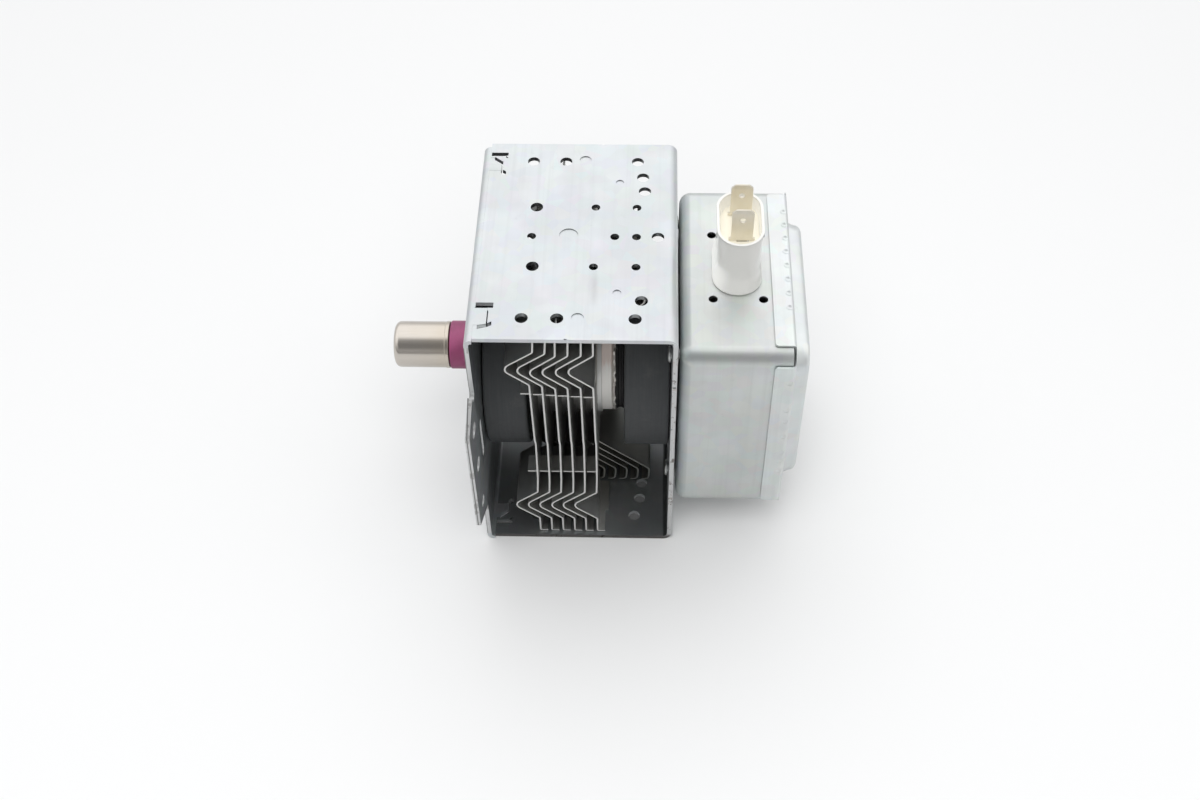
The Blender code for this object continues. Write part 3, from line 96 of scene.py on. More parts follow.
def corner_arc(before, corner, after, radius, steps):
    """The arc that rounds one corner of a path."""
    corner = Vector(corner)
    back = (Vector(before) - corner).normalized()
    ahead = (Vector(after) - corner).normalized()
    half = back.angle(ahead) / 2
    if radius <= 0 or half > math.pi / 2 - 0.01:
        return [corner]
    centre = corner + (back + ahead).normalized() * (radius / math.sin(half))
    start = corner + back * (radius / math.tan(half)) - centre
    end = corner + ahead * (radius / math.tan(half)) - centre
    turn = start.angle_signed(end)
    return [centre + Matrix.Rotation(-turn * k / steps, 2) @ start for k in range(steps + 1)]


def rounded(points, radii, steps=8):
    """An open path of 2D points with its inner corners rounded."""
    path = [Vector(points[0])]
    for before, corner, after, radius in zip(points, points[1:], points[2:], radii):
        path += corner_arc(before, corner, after, radius, steps)
    return path + [Vector(points[-1])]


def rounded_loop(points, radius, steps=4):
    """A closed outline with every corner rounded by the same radius."""
    return rounded([points[-1], *points, points[0]], [radius] * len(points), steps)[1:-1]


def bevelled(corners, steps=4):
    """A closed outline. Each corner is two coordinates and the radius that rounds it."""
    points = [corner[:2] for corner in corners]
    radii = [corner[2] for corner in corners]
    return rounded([points[-1], *points, points[0]], radii, steps)[1:-1]


def rectangle(half_width, half_height, corner, steps=6, centre=(0, 0)):
    """A rectangle's outline with round corners."""
    x, y = centre
    signs = ((1, 1), (-1, 1), (-1, -1), (1, -1))
    corners = [(x + a * half_width, y + b * half_height) for a, b in signs]
    return rounded_loop(corners, corner, steps)


def to_mesh(edit):
    mesh = bpy.data.meshes.new("shape")
    bmesh.ops.recalc_face_normals(edit, faces=edit.faces)
    edit.to_mesh(mesh)
    edit.free()
    return mesh


def skin(edit, rows, closed):
    """Quads between rows of points. A row of one point closes the surface there."""
    for row, following in zip(rows, rows[1:]):
        count = max(len(row), len(following))
        for k in range(count if closed else count - 1):
            ahead = (k + 1) % count
            if len(row) == 1:
                edit.faces.new((row[0], following[ahead], following[k]))
            elif len(following) == 1:
                edit.faces.new((row[k], row[ahead], following[0]))
            else:
                edit.faces.new((row[k], row[ahead], following[ahead], following[k]))


def lofted(rows):
    """A closed skin through loops of 3D points with equal counts."""
    edit = bmesh.new()
    loops = [[edit.verts.new(point) for point in row] for row in rows]
    skin(edit, loops, True)
    edit.faces.new(loops[0])
    edit.faces.new(loops[-1])
    return to_mesh(edit)


FACING = {
    "X": lambda a, b, level: (level, a, b),
    "Y": lambda a, b, level: (a, level, b),
    "Z": lambda a, b, level: (a, b, level),
}


def prism(outline, low, high, facing="Z"):
    """A closed prism. The outline is x and y for facing Z, y and z for X, x and z for Y."""
    put = FACING[facing]
    return lofted([[put(a, b, level) for a, b in outline] for level in (low, high)])


def turned(profile, segments=128, centre=(0.0, 0.0)):
    """A piece turned about a line along the tube, from a closed profile of (radius, x), or from
    an open one whose ends lie on the line."""
    y, z = centre
    edit = bmesh.new()
    rows = []
    for radius, x in profile:
        angles = around(segments if radius > 1e-6 else 1)
        points = [(x, y + radius * math.cos(a), z + radius * math.sin(a)) for a in angles]
        rows.append([edit.verts.new(point) for point in points])
    if profile[0][0] > 1e-6:
        rows.append(rows[0])
    skin(edit, rows, True)
    return to_mesh(edit)


def ball(centre, radius):
    edit = bmesh.new()
    matrix = Matrix.Translation(centre)
    bmesh.ops.create_uvsphere(edit, u_segments=16, v_segments=8, radius=radius, matrix=matrix)
    return to_mesh(edit)


def block(low, high):
    edit = bmesh.new()
    size = [b - a for a, b in zip(low, high)]
    middle = [(a + b) / 2 for a, b in zip(low, high)]
    matrix = Matrix.Translation(middle) @ Matrix.Diagonal((*size, 1))
    bmesh.ops.create_cube(edit, size=1.0, matrix=matrix)
    return to_mesh(edit)


def joined(meshes):
    edit = bmesh.new()
    for mesh in meshes:
        edit.from_mesh(mesh)
        bpy.data.meshes.remove(mesh)
    mesh = bpy.data.meshes.new("joined")
    edit.to_mesh(mesh)
    edit.free()
    return mesh


def linked(name, data):
    obj = bpy.data.objects.new(name, data)
    bpy.context.scene.collection.objects.link(obj)
    return obj


def baked(mesh, kind, **settings):
    """The mesh after a modifier."""
    obj = linked("work", mesh)
    modifier = obj.modifiers.new(kind.lower(), kind)
    for key, value in settings.items():
        setattr(modifier, key, value)
    bpy.context.view_layer.update()
    graph = bpy.context.evaluated_depsgraph_get()
    result = bpy.data.meshes.new_from_object(obj.evaluated_get(graph))
    bpy.data.objects.remove(obj)
    return result


def boolean(mesh, others, operation="DIFFERENCE"):
    """Cuts, or joins, meshes that don't meet each other."""
    tool = linked("work", joined(others))
    result = baked(mesh, "BOOLEAN", operation=operation, solver="EXACT", object=tool)
    bpy.data.objects.remove(tool)
    if not result.polygons:
        raise RuntimeError("a cut removed the whole piece")
    return result


def sheet_from(edit, thickness):
    """A surface, thickened to both sides."""
    even = {"use_even_offset": True, "use_quality_normals": True}
    return baked(to_mesh(edit), "SOLIDIFY", thickness=thickness, offset=0.0, **even)


def ribbon(edit, path, low, high, shared=()):
    """Sweeps a path of (x, z) from y low to y high, starting from two points that exist."""
    rows = [[edit.verts.new((x, y, z)) for x, z in path] for y in (low, high)]
    for row, first in zip(rows, shared):
        edit.verts.remove(row[0])
        row[0] = first
    skin(edit, rows, False)
    return rows


def soften(mesh, width):
    """Rounds the hard edges of a piece."""
    limit = {"limit_method": "ANGLE", "angle_limit": math.radians(50)}
    return baked(mesh, "BEVEL", width=width, segments=2, **limit)


def shade(mesh, angle=32):
    """Smooth shading that keeps flat faces flat."""
    mesh.shade_smooth()
    mesh.set_sharp_from_angle(angle=math.radians(angle))
    return baked(mesh, "WEIGHTED_NORMAL", keep_sharp=True, weight=90)


def show(name, mesh, finish, node):
    """Puts a finished mesh in the scene, in place of the node that it stands for."""
    mesh.transform(TUBE)
    mesh.materials.clear()
    mesh.materials.append(finish.material)
    obj = linked(name, mesh)
    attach(obj, "root")
    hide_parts(node)


def paint(finish, *nodes):
    """Gives solids that stay in view their finish."""
    for node in nodes:
        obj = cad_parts[node]
        if not obj.material_slots:
            obj.data.materials.append(finish.material)
        for slot in obj.material_slots:
            slot.material = finish.material


# Finishes


class Socket:
    """A shader value that takes part in Python arithmetic, by adding Math nodes."""

    def __init__(self, graph, output):
        self.graph = graph
        self.output = output

    def math(self, operation, *values):
        return self.graph.node("Math", {"operation": operation}, dict(enumerate(values)))

    def __add__(self, other):
        return self.math("ADD", self, other)

    __radd__ = __add__

    def __sub__(self, other):
        return self.math("SUBTRACT", self, other)

    def __rsub__(self, other):
        return self.math("SUBTRACT", other, self)

    def __mul__(self, other):
        return self.math("MULTIPLY", self, other)

    __rmul__ = __mul__

    def size(self):
        return self.math("ABSOLUTE", self)

    def ramp(self, low, high):
        """0 below low, 1 above high, and smooth between."""
        sockets = {"Value": self, "From Min": low, "From Max": high}
        return self.graph.node("MapRange", {"interpolation_type": "SMOOTHSTEP"}, sockets)

    def band(self, low, high, blur):
        """1 between low and high, 0 outside them."""
        return self.ramp(low - blur, low + blur) * (1.0 - self.ramp(high - blur, high + blur))

    def split(self):
        """The three parts of a vector."""
        node = self.graph.node("SeparateXYZ", None, {"Vector": self}).output.node
        return [Socket(self.graph, output) for output in node.outputs]


class Graph:
    """A node tree whose nodes are made from Python expressions."""

    def __init__(self, tree):
        self.tree = tree

    def feed(self, socket, value):
        """Links or sets a socket. A colour without alpha is opaque."""
        if isinstance(value, Socket):
            self.tree.links.new(value.output, socket)
        elif socket.type == "RGBA":
            socket.default_value = (*value, 1.0)
        else:
            socket.default_value = value

    def node(self, kind, settings=None, sockets=None, output=0):
        """The one place where a node is made: its settings first, then its sockets."""
        node = self.tree.nodes.new("ShaderNode" + kind)
        for key, value in (settings or {}).items():
            setattr(node, key, value)
        for key, value in (sockets or {}).items():
            self.feed(node.inputs[key], value)
        return Socket(self, node.outputs[output])

    def ray(self, kind):
        """1 for a ray of one kind, 0 for others."""
        return self.node("LightPath", output=f"Is {kind} Ray")


class Finish(Graph):
    """A material made from expressions."""

    def __init__(self, name, colour, metallic=0.0, **constants):
        self.material = bpy.data.materials.new(name)
        self.material.use_nodes = True
        super().__init__(self.material.node_tree)
        self.shader = self.tree.nodes["Principled BSDF"]
        self.colour = tuple(colour)
        self.material.diffuse_color = (*colour, 1.0)
        self.set("Base Color", colour)
        self.set("Metallic", metallic)
        for key, value in constants.items():
            self.set(key.replace("_", " "), value)

    def set(self, key, value):
        self.feed(self.shader.inputs[key], value)

    def now(self, key):
        """What a socket of the shader is linked to."""
        return Socket(self, self.shader.inputs[key].links[0].from_socket)

    def mix(self, share, first, second):
        """A colour between two others."""
        sockets = {0: share, 6: first, 7: second}
        return self.node("Mix", {"data_type": "RGBA"}, sockets, 2)

    def between(self, share, low, high):
        """The finish's own colour, made from low to high times as bright."""
        return self.mix(share, shade_of(self.colour, low), shade_of(self.colour, high))

    def vary(self, share, low, high):
        """Starts the surface's colour from the finish's own."""
        self.set("Base Color", self.between(share, low, high))

    def tint(self, share, colour):
        """Covers part of the surface with another colour, or a share of the finish's own."""
        if isinstance(colour, float):
            colour = shade_of(self.colour, colour)
        self.set("Base Color", self.mix(share, self.now("Base Color"), colour))

    def glow(self, share, colour):
        self.set("Emission Color", self.mix(share, (0.0, 0.0, 0.0), colour))
        self.set("Emission Strength", 1.0)

    def place(self):
        """The place on the object in metres, as x, y and z."""
        return self.node("TexCoord", output="Object").split()

    def facing(self):
        """The direction that the surface faces, as x, y and z."""
        return self.node("NewGeometry", output="Normal").split()

    def point(self, scale=(1.0, 1.0, 1.0)):
        """The place on the object, stretched by scale."""
        place = self.node("TexCoord", output="Object")
        return self.node("Mapping", None, {"Vector": place, "Scale": scale})

    def noise(self, scale, detail=3.0, stretch=(1.0, 1.0, 1.0), rough=0.55):
        sockets = {"Vector": self.point(stretch), "Scale": scale}
        return self.node("TexNoise", None, {**sockets, "Detail": detail, "Roughness": rough})

    def cells(self, scale):
        """Flat cells, each of its own colour."""
        sockets = {"Vector": self.point(), "Scale": scale}
        return self.node("TexVoronoi", None, sockets, "Color")

    def worn(self, roughness, height, distance, strength):
        """The finish with its roughness, and relief whose height 0 to 1 is so many metres."""
        sockets = {"Height": height, "Distance": distance, "Strength": strength}
        self.set("Roughness", roughness)
        self.set("Normal", self.node("Bump", None, sockets))
        return self


def shade_of(colour, factor):
    return tuple(min(1.0, channel * factor) for channel in colour)


def galvanised(name, colour, roughness, along):
    """Zinc-coated sheet: faint rolling streaks, soft spangle, handling marks and fine grain."""
    finish = Finish(name, colour, 0.92)
    patches = finish.noise(45.0)
    streaks = finish.noise(1.0, 2.0, [700.0 if axis in along else 14.0 for axis in "XYZ"])
    marks = finish.noise(150.0, 5.0, rough=0.7).ramp(0.62, 0.78)
    finish.vary(patches.ramp(0.35, 0.7), 0.93, 1.04)
    finish.tint(streaks.ramp(0.45, 0.75) * 0.3, 0.86)
    finish.tint(0.035, finish.cells(260.0))
    finish.tint(marks * 0.22, 0.7)
    rough = roughness + 0.1 * patches + 0.06 * streaks + 0.12 * marks
    return finish.worn(rough, 0.5 * finish.noise(2600.0, 2.0) + 0.5 * streaks, 0.00003, 0.5)


def yoke_steel(yoke, colours):
    """Galvanised sheet, with painted shade on its inner side and on the walls of its holes and
    cuts. The sheared front and back edges are pale and burnished with fine dark specks, and
    darker at the bottom."""
    finish = galvanised("yoke_zinc", colours.zinc, 0.3, "XZ")
    x, y, z = finish.place()
    _, _, up = finish.facing()
    sheet, half = yoke.sheet, yoke.depth / 2
    wall = yoke.length + PLATE_X * MM - sheet
    # Painted shade: the inner faces of the U are darkened almost to black.
    inside = z.band(sheet, yoke.height - sheet, 0.00008) * (1.0 - x.ramp(wall - 0.0001, wall))
    finish.tint(inside * 0.84, (0.045, 0.053, 0.055))
    smear = x.band(0.0052, 0.0066, 0.0012) * y.band(-0.026, -0.0145, 0.003)
    top = z.ramp(0.09, 0.095)
    smear = smear * finish.noise(300.0, 3.0, (1.0, 0.2, 1.0)) * top
    finish.tint(smear * 0.75, (0.42, 0.42, 0.43))
    edge = y.size().ramp(half - 0.00012, half - 0.00002)
    # Painted shade: the upright walls of the holes, cuts and nicks in the plates are darkened.
    upright, before_wall = 1.0 - up.size().ramp(0.3, 0.6), 1.0 - x.ramp(0.0262, 0.0268)
    finish.tint(upright * before_wall * (1.0 - edge) * 0.6, (0.11, 0.11, 0.11))
    below_top, bottom = 1.0 - z.ramp(0.0945, 0.0965), 1.0 - z.ramp(0.001, 0.003)
    edge = edge * below_top
    specks = finish.noise(900.0, 4.0, (1.0, 1.0, 0.5), 0.65).ramp(0.56, 0.68)
    pale = finish.mix(specks * 0.75, colours.sheared, colours.bare_edge)
    pale = finish.mix(finish.noise(260.0).ramp(0.6, 0.72) * 0.35, pale, (0.45, 0.30, 0.22))
    dull = finish.mix(specks, (0.16, 0.155, 0.15), (0.05, 0.045, 0.04))
    finish.tint(edge, finish.mix(bottom, pale, dull))
    finish.set("Roughness", finish.now("Roughness") + 0.2 * edge)
    return finish


def plate_steel(yoke, colours):
    """The end plate's sheet: streaked and darkened with painted shade on its inner side, with pale,
    stained edges.
    """
    finish = galvanised("plate_zinc", colours.zinc, 0.32, "Y")
    x, _, z = finish.place()
    across, _, _ = finish.facing()
    start = PLATE_X * MM
    flat = z.band(0.003, yoke.height - 0.003, 0.0002)
    inner = x.ramp(start + yoke.sheet - 0.0001, start + yoke.sheet)
    streaks = finish.noise(1.0, 4.0, (200.0, 420.0, 130.0), 0.6).ramp(0.5, 0.66)
    # Painted shade, with streaks in it, over the plate's inner face.
    finish.tint(inner * flat * 0.5, finish.mix(streaks, (0.07, 0.085, 0.09), (0.3, 0.33, 0.34)))
    edge = (1.0 - across.size().ramp(0.3, 0.6)) * flat
    stains = finish.noise(420.0, 4.0, (1.0, 1.0, 0.6), 0.6).ramp(0.52, 0.66)
    pale = finish.mix(stains * 0.6, colours.sheared, (0.3, 0.29, 0.28))
    outer = x.band(start - 0.0001, start + 0.0002, 0.0001)
    finish.tint(edge, finish.mix(outer, pale, (0.2, 0.2, 0.2)))
    return finish


def sheet_aluminium(name, colour):
    """Bare rolled sheet with drawing lines, dull patches, painted shade over the middle and pale
    cut edges.
    """
    finish = Finish(name, colour)
    _, y, z = finish.place()
    _, ahead, _ = finish.facing()
    rise = z - AXIS_Z * MM
    lines = finish.noise(1.0, 2.0, (40.0, 40.0, 2200.0))
    patches = finish.noise(70.0)
    # Painted shade over the middle of each fin, outside its collar and away from its front and
    # back.
    painted_middle_shade = (1.0 - y.size().ramp(0.019, 0.036)) * (y * y + rise * rise).ramp(0.00046, 0.0005)
    cut = ahead.size().ramp(0.6, 0.8) * y.size().ramp(0.0386, 0.0388)
    finish.vary(patches.ramp(0.3, 0.75), 0.9, 1.0)
    finish.tint(painted_middle_shade * 0.6, (0.40, 0.39, 0.35))
    finish.tint(cut, (0.90, 0.90, 0.88))
    finish.set("Metallic", 1.0 - 0.6 * cut)
    return finish.worn(0.3 + 0.14 * lines + 0.12 * patches + 0.2 * cut, lines, 0.00002, 0.4)


def ferrite(name, colour):
    """Fired ferrite: matt, with grinding lines, pores and small chips that show lighter."""
    finish = Finish(name, colour)
    lines = finish.noise(1.0, 3.0, (1600.0, 60.0, 60.0))
    pores = finish.noise(900.0, 4.0, rough=0.7)
    finish.vary(lines, 0.8, 1.25)
    dust = finish.noise(130.0, 5.0, rough=0.7).ramp(0.52, 0.8)
    finish.tint(dust * 0.35, (0.16, 0.16, 0.155))
    return finish.worn(0.5 + 0.2 * pores, 0.6 * pores + 0.4 * lines, 0.00006, 0.6)


def plated(name, colour, roughness, stain=(0.5, 0.36, 0.22), amount=0.2):
    """Turned and plated metal: rings round the tube, and stains from heat."""
    finish = Finish(name, colour, 1.0)
    rings = finish.noise(1.0, 2.0, (2400.0, 30.0, 30.0))
    heat = finish.noise(120.0).ramp(0.4, 0.75)
    finish.vary(rings, 0.9, 1.05)
    finish.tint(heat * amount, stain)
    return finish.worn(roughness + 0.12 * rings + 0.12 * heat, rings, 0.00002, 0.35)


def anode_plating(name, colour):
    """Silvery braze over copper: pinkish runs from the top, copper near the vanes, and a painted
    glow on the band past the last fin.
    """
    finish = Finish(name, colour, 0.35)
    x, y, z = finish.place()
    rise = z - AXIS_Z * MM
    rings = finish.noise(1.0, 2.0, (1800.0, 30.0, 30.0))
    runs = finish.noise(1.0, 4.0, (900.0, 160.0, 160.0)) * 0.01 + z
    core = 1.0 - (y * y + rise * rise).ramp(0.0003, 0.00034)
    finish.vary(rings, 0.92, 1.05)
    finish.tint(runs.ramp(0.0625, 0.0665) * 0.7, (0.74, 0.60, 0.54))
    # Painted light: the anode's outside past the last fin glows a little in its own colour.
    painted_glow_band = x.ramp(0.0073, 0.0077)
    finish.glow(painted_glow_band * (1.0 - core) * 0.12, finish.now("Base Color"))
    finish.tint(core, (0.80, 0.52, 0.40))
    return finish.worn(0.34 + 0.14 * rings, rings, 0.00002, 0.35)


def nickel(name, colour):
    """The drawn cap: satin, with lengthwise drawing marks and a warm stain at its mouth."""
    finish = Finish(name, colour, 1.0)
    x, _, _ = finish.place()
    lines = finish.noise(1.0, 2.0, (60.0, 1400.0, 1400.0))
    cloud = finish.noise(160.0)
    finish.vary(lines, 0.94, 1.06)
    mouth = (x + 0.016 * cloud).ramp(-0.047, -0.033)
    finish.tint(mouth * 0.3, (0.66, 0.56, 0.42))
    return finish.worn(0.13 + 0.06 * lines + 0.08 * cloud, lines, 0.000015, 0.35)


def magenta_ceramic(name, colour):
    """Coloured alumina: fine sintered grain, slightly uneven, darker where glaze is thin."""
    finish = Finish(name, colour)
    grain = finish.noise(1500.0, 4.0)
    finish.vary(finish.noise(180.0).ramp(0.3, 0.7), 0.85, 1.12)
    finish.tint(grain.ramp(0.6, 0.8) * 0.3, (0.5, 0.2, 0.33))
    return finish.worn(0.34 + 0.16 * grain, grain, 0.00003, 0.4)


def moulded_cream(name, colour, warm):
    """Moulded insulator: glossy, with a painted glow standing in for light through the moulding,
    a painted highlight on its left flank, and warmer down in its recess.
    """
    finish = Finish(name, colour, Coat_Weight=0.6, Coat_Roughness=0.12)
    _, _, z = finish.place()
    left, _, up = finish.facing()
    scuffs = finish.noise(1.0, 4.0, (500.0, 500.0, 60.0)).ramp(0.6, 0.75)
    painted_left_sheen = 1.0 - left.ramp(-0.95, -0.3)
    base, below_rim = 1.0 - z.ramp(0.0925, 0.0945), 1.0 - z.ramp(0.1045, 0.1055)
    # Painted light: a faint glow below the rim, and a painted highlight on the left flank,
    # strongest low down.
    glow = (0.085 + 0.07 * painted_left_sheen + 0.2 * (painted_left_sheen * base)) * below_rim
    floor = z.band(0.1000, 0.1040, 0.0004) * up.ramp(0.5, 0.9)
    finish.vary(finish.noise(110.0, 2.0), 0.97, 1.0)
    finish.tint(floor * 0.85, warm)
    finish.tint(scuffs * 0.08, 0.75)
    finish.glow(glow, finish.colour)
    finish.set("Roughness", 0.26 + 0.08 * finish.noise(1300.0))
    return finish


def tinned_brass(name, colour):
    """Tinned contact sheet: soft vertical wipe marks and a yellow tarnish."""
    finish = Finish(name, colour, 0.9)
    wipes = finish.noise(1.0, 3.0, (900.0, 900.0, 70.0))
    tarnish = finish.noise(260.0).ramp(0.4, 0.7)
    finish.set("Base Color", finish.mix(tarnish * 0.4, colour, (0.80, 0.72, 0.55)))
    finish.tint(wipes, 1.1)
    return finish.worn(0.34 + 0.14 * wipes + 0.08 * tarnish, wipes, 0.00002, 0.4)


def plain(name, colour, roughness, metallic=1.0, grain_scale=900.0):
    """Small pieces: uneven tone and a fine grain."""
    finish = Finish(name, colour, metallic)
    grain = finish.noise(grain_scale)
    finish.vary(finish.noise(200.0), 0.85, 1.1)
    return finish.worn(roughness + 0.15 * grain, grain, 0.00002, 0.4)


# Settings


def length(name, description, default):
    """A size that is typed here in millimetres and kept in metres."""
    settings = {"default": default * MM, "min": 0.0, "unit": "LENGTH", "precision": 4}
    return FloatProperty(name=name, description=description, **settings)


def colour(name, description, default):
    settings = {"default": default, "size": 3, "subtype": "COLOR", "min": 0, "max": 1}
    return FloatVectorProperty(name=name, description=description, **settings)


def number(name, description, default, unit="NONE"):
    return FloatProperty(name=name, description=description, default=default, unit=unit)


def in_mm(settings, *names):
    return [getattr(settings, name) / MM for name in names]


class MagnetronYokeSettings(bpy.types.PropertyGroup):
    sheet: length("Sheet", "Thickness of the yoke's steel sheet", 1.4)
    length: length("Length", "Yoke length along the tube", 60.0)
    depth: length("Depth", "Yoke depth from front to back", 81.0)
    height: length("Height", "Yoke height", 98.0)
    bend: length("Bend", "Outer radius of the folds at the far wall", 3.0)
    lip_bend: length("Lip bend", "Outer radius of the end plate's folds", 2.2)
    large_hole: length("Large hole", "Diameter of the larger holes", 3.7)
    small_hole: length("Small hole", "Diameter of the smaller holes", 2.6)
    edge_round: length("Edge round", "Rounding of the sheared edges", 0.1)
    coin_depth: length("Coin depth", "Depth of the half-sheared discs", 0.3)


class MagnetronTubeSettings(bpy.types.PropertyGroup):
    magnet_diameter: length("Magnet diameter", "Outer diameter of the ring magnets", 62.0)
    magnet_bore: length("Magnet bore", "Bore of the ring magnets", 21.0)
    anode_diameter: length("Anode diameter", "Outer diameter of the anode", 40.0)
    cap_diameter: length("Cap diameter", "Diameter of the antenna's cap", 14.7)
    ceramic_diameter: length("Ceramic diameter", "Diameter of the antenna's ceramic", 15.4)
    gasket_wire: length("Gasket wire", "Diameter of the gasket's knitted wire", 0.17)
    gasket_strands: IntProperty(
        name="Gasket strands", description="Wires wound each way", default=22, min=4
    )


class MagnetronFinSettings(bpy.types.PropertyGroup):
    sheet: length("Sheet", "Thickness of the fins", 0.5)
    count: IntProperty(name="Count", description="Number of fins", default=6, min=1, max=6)
    fold_reach: length("Fold reach", "How far a tongue's fold leans out", 8.2)
    wing_reach: length("Wing reach", "How far a fin's wing sweeps out", 16.8)


class MagnetronFilterSettings(bpy.types.PropertyGroup):
    sheet: length("Sheet", "Thickness of the filter box's sheet", 0.6)
    depth: length("Depth", "Filter box depth from front to back", 70.4)
    height: length("Height", "Filter box height", 72.6)
    corner: length("Corner", "Radius of the box's long corners", 4.5)
    panel_rise: length("Panel rise", "Height of the lid's raised panel", 4.9)
    crimp: length("Crimp", "Radius of the lid's crimped dimples", 1.8)
    tab_width: length("Tab width", "Width of the push-on tabs", 6.35)
    tab_sheet: length("Tab sheet", "Thickness of the push-on tabs", 0.8)


class MagnetronFinishSettings(bpy.types.PropertyGroup):
    zinc: colour("Zinc", "Galvanised sheet of the yoke", (0.735, 0.765, 0.785))
    box_zinc: colour("Box zinc", "Galvanised sheet of the filter box", (0.77, 0.80, 0.79))
    lid_zinc: colour("Lid zinc", "Galvanised sheet of the lid", (0.86, 0.895, 0.89))
    sheared: colour("Sheared edge", "Burnished part of a sheared edge", (0.76, 0.77, 0.77))
    bare_edge: colour("Bare edge", "Torn part of a sheared edge", (0.13, 0.10, 0.08))
    aluminium: colour("Aluminium", "Cooling fins", (0.86, 0.86, 0.84))
    ferrite: colour("Ferrite", "Magnets and choke cores", (0.068, 0.072, 0.075))
    copper: colour("Copper", "Leads and straps", (0.80, 0.52, 0.40))
    anode: colour("Anode", "Plated outside of the anode", (0.90, 0.885, 0.85))
    plating: colour("Plating", "Sleeves and rims of the tube", (0.78, 0.76, 0.72))
    nickel: colour("Nickel", "Antenna cap", (0.72, 0.67, 0.61))
    ceramic: colour("Ceramic", "Antenna's ceramic", (0.40, 0.085, 0.205))
    cream: colour("Cream", "Moulded insulator", (0.95, 0.94, 0.90))
    warm: colour("Warm", "Floor of the insulator's recess", (0.95, 0.90, 0.74))
    tin: colour("Tin", "Push-on tabs", (0.78, 0.74, 0.65))


class MagnetronStageSettings(bpy.types.PropertyGroup):
    lens: number("Lens", "Focal length of the camera", 45.036, "CAMERA")
    camera_place: FloatVectorProperty(
        name="Camera",
        description="Where the camera stands",
        default=(0.020591, -0.314953, 0.410792),
        subtype="TRANSLATION",
    )
    camera_angles: FloatVectorProperty(
        name="Camera angles",
        description="Downward tilt, turn and roll of the camera",
        default=(0.8898386, -0.0466126, -0.0240683),
        subtype="EULER",
    )
    floor: colour("Floor", "Colour of the table", (0.93, 0.928, 0.925))
    sky: number("Sky", "Strength of the light from all round", 1.03)
    gloss: number("Gloss", "Strength of the sky in reflections", 1.18)
    front: number("Front lamp", "Power of the lamp over the viewer", 3.4, "POWER")
    back: number("Back lamp", "Power of the lamp behind the part", 1.6, "POWER")


# Yoke


EDGE_ROW, INNER_ROW = 32.5, 12.3
COINED = (
    ((31.7, 33.3), 3.6),
    ((31.6, -32.2), 3.6),
    ((27.8, 0.5), 5.6),
    ((42.5, 23.2), 2.5),
    ((42.5, -22.5), 2.5),
)
RIVETS = [(y, z) for y in (-27.0, 27.0) for z in (-28.0, 28.0)]
RIVET_HOLE, STEM_HOLE, ANTENNA_HOLE = 3.6, 19.2, 17.6
LIP_REACH, TAB_REACH, SLOT_END = 2.4, 6.05, 7.6
SEAM = -0.02
PLATE_EDGES = (-41.4, 39.0)
EAR_TIP_Y, EAR_ROOT_Z, EAR_TIP_Z = 55.0, 29.8, 21.5
EAR_BEND = 0.04
FAR = 99


def side_plate_holes(large, small):
    """The pattern of round holes in both side plates, as centre and diameter."""
    holes = []
    for side in (-1, 1):
        holes += [((x, side * EDGE_ROW), large) for x in (15.8, 25.8, 47.8)]
        holes += [((17.8, side * INNER_ROW), large)]
        holes += [((x, side * INNER_ROW), small) for x in (35.5, 47.8)]
        holes += [((49.5, side * 25.5), large)]
    holes += [((x, 0), small) for x in (16.9, 41.4, 47.8)]
    return holes + [((54.1, 0), large), ((50.1, 19.4), large)]


def joint_cuts():
    """Outlines cut from a side plate where the end plate's two tabs are staked."""
    out = LIP_REACH - 1.4
    front = [(out, -28.7), (2.6, -28.7), (2.6, -26.75), (SLOT_END, -26.75), (SLOT_END, -28.7)]
    front += [(TAB_REACH + SEAM, -28.7), (TAB_REACH + SEAM, -29.7), (6.35, -29.9), (6.35, -34.6)]
    front += [(7.5, -33.9), (7.6, -35.3), (6.3, -36.0), (3.6, -36.7), (3.6, -35.35), (out, -35.35)]
    back = [(out, 28.25), (5.9, 28.25), (5.9, 27.3), (6.4, 26.4), (7.1, 26.3), (7.6, 27.0)]
    back += [(7.4, 28.0), (6.4, 28.6), (6.35, 31.7), (6.4, 32.2), (3.8, 34.3), (3.6, 34.0)]
    back += [(out, 34.0)]
    slot = [(2.6, 36.35), (7.75, 36.35), (7.75, 35.1), (6.9, 34.9), (7.8, 34.1), (7.7, 33.75)]
    slot += [(6.0, 34.8), (2.6, 34.8)]
    return [front, back, slot]


def nicks():
    """Small dents in the sheared edges of the top plate and of the far wall."""
    places = ((37.0, 40.5, 49.0), (28.5, -40.5, 49.0), (59.3, -40.4, 28.5), (58.7, -40.5, 9.0))
    return [block((x - 0.4, y - 0.35, z - 0.3), (x + 0.4, y + 0.35, z + 0.3)) for x, y, z in places]


def flipped(outline):
    """An outline of a side plate turned half way round the tube."""
    return [(x, -y) for x, y in outline]


def side_plate_tools(top, half_sheet, yoke):
    """Cutters for the top side plate, and the same for the bottom one."""
    large, small, coin = in_mm(yoke, "large_hole", "small_hole", "coin_depth")
    outlines = [circle(*hole) for hole in side_plate_holes(large, small)]
    outlines += [rounded_loop(outline, 0.04, 2) for outline in joint_cuts()]
    coins = [circle(*coin_place) for coin_place in COINED]
    beyond = 2 * half_sheet
    tools = [prism(o, top - beyond - half_sheet, top + beyond) for o in outlines]
    tools += [prism(o, top + half_sheet - coin, top + beyond) for o in coins]
    tools += [prism(flipped(o), -top - beyond, half_sheet + beyond - top) for o in outlines]
    return tools + [prism(flipped(o), -top - beyond, coin - half_sheet - top) for o in coins]


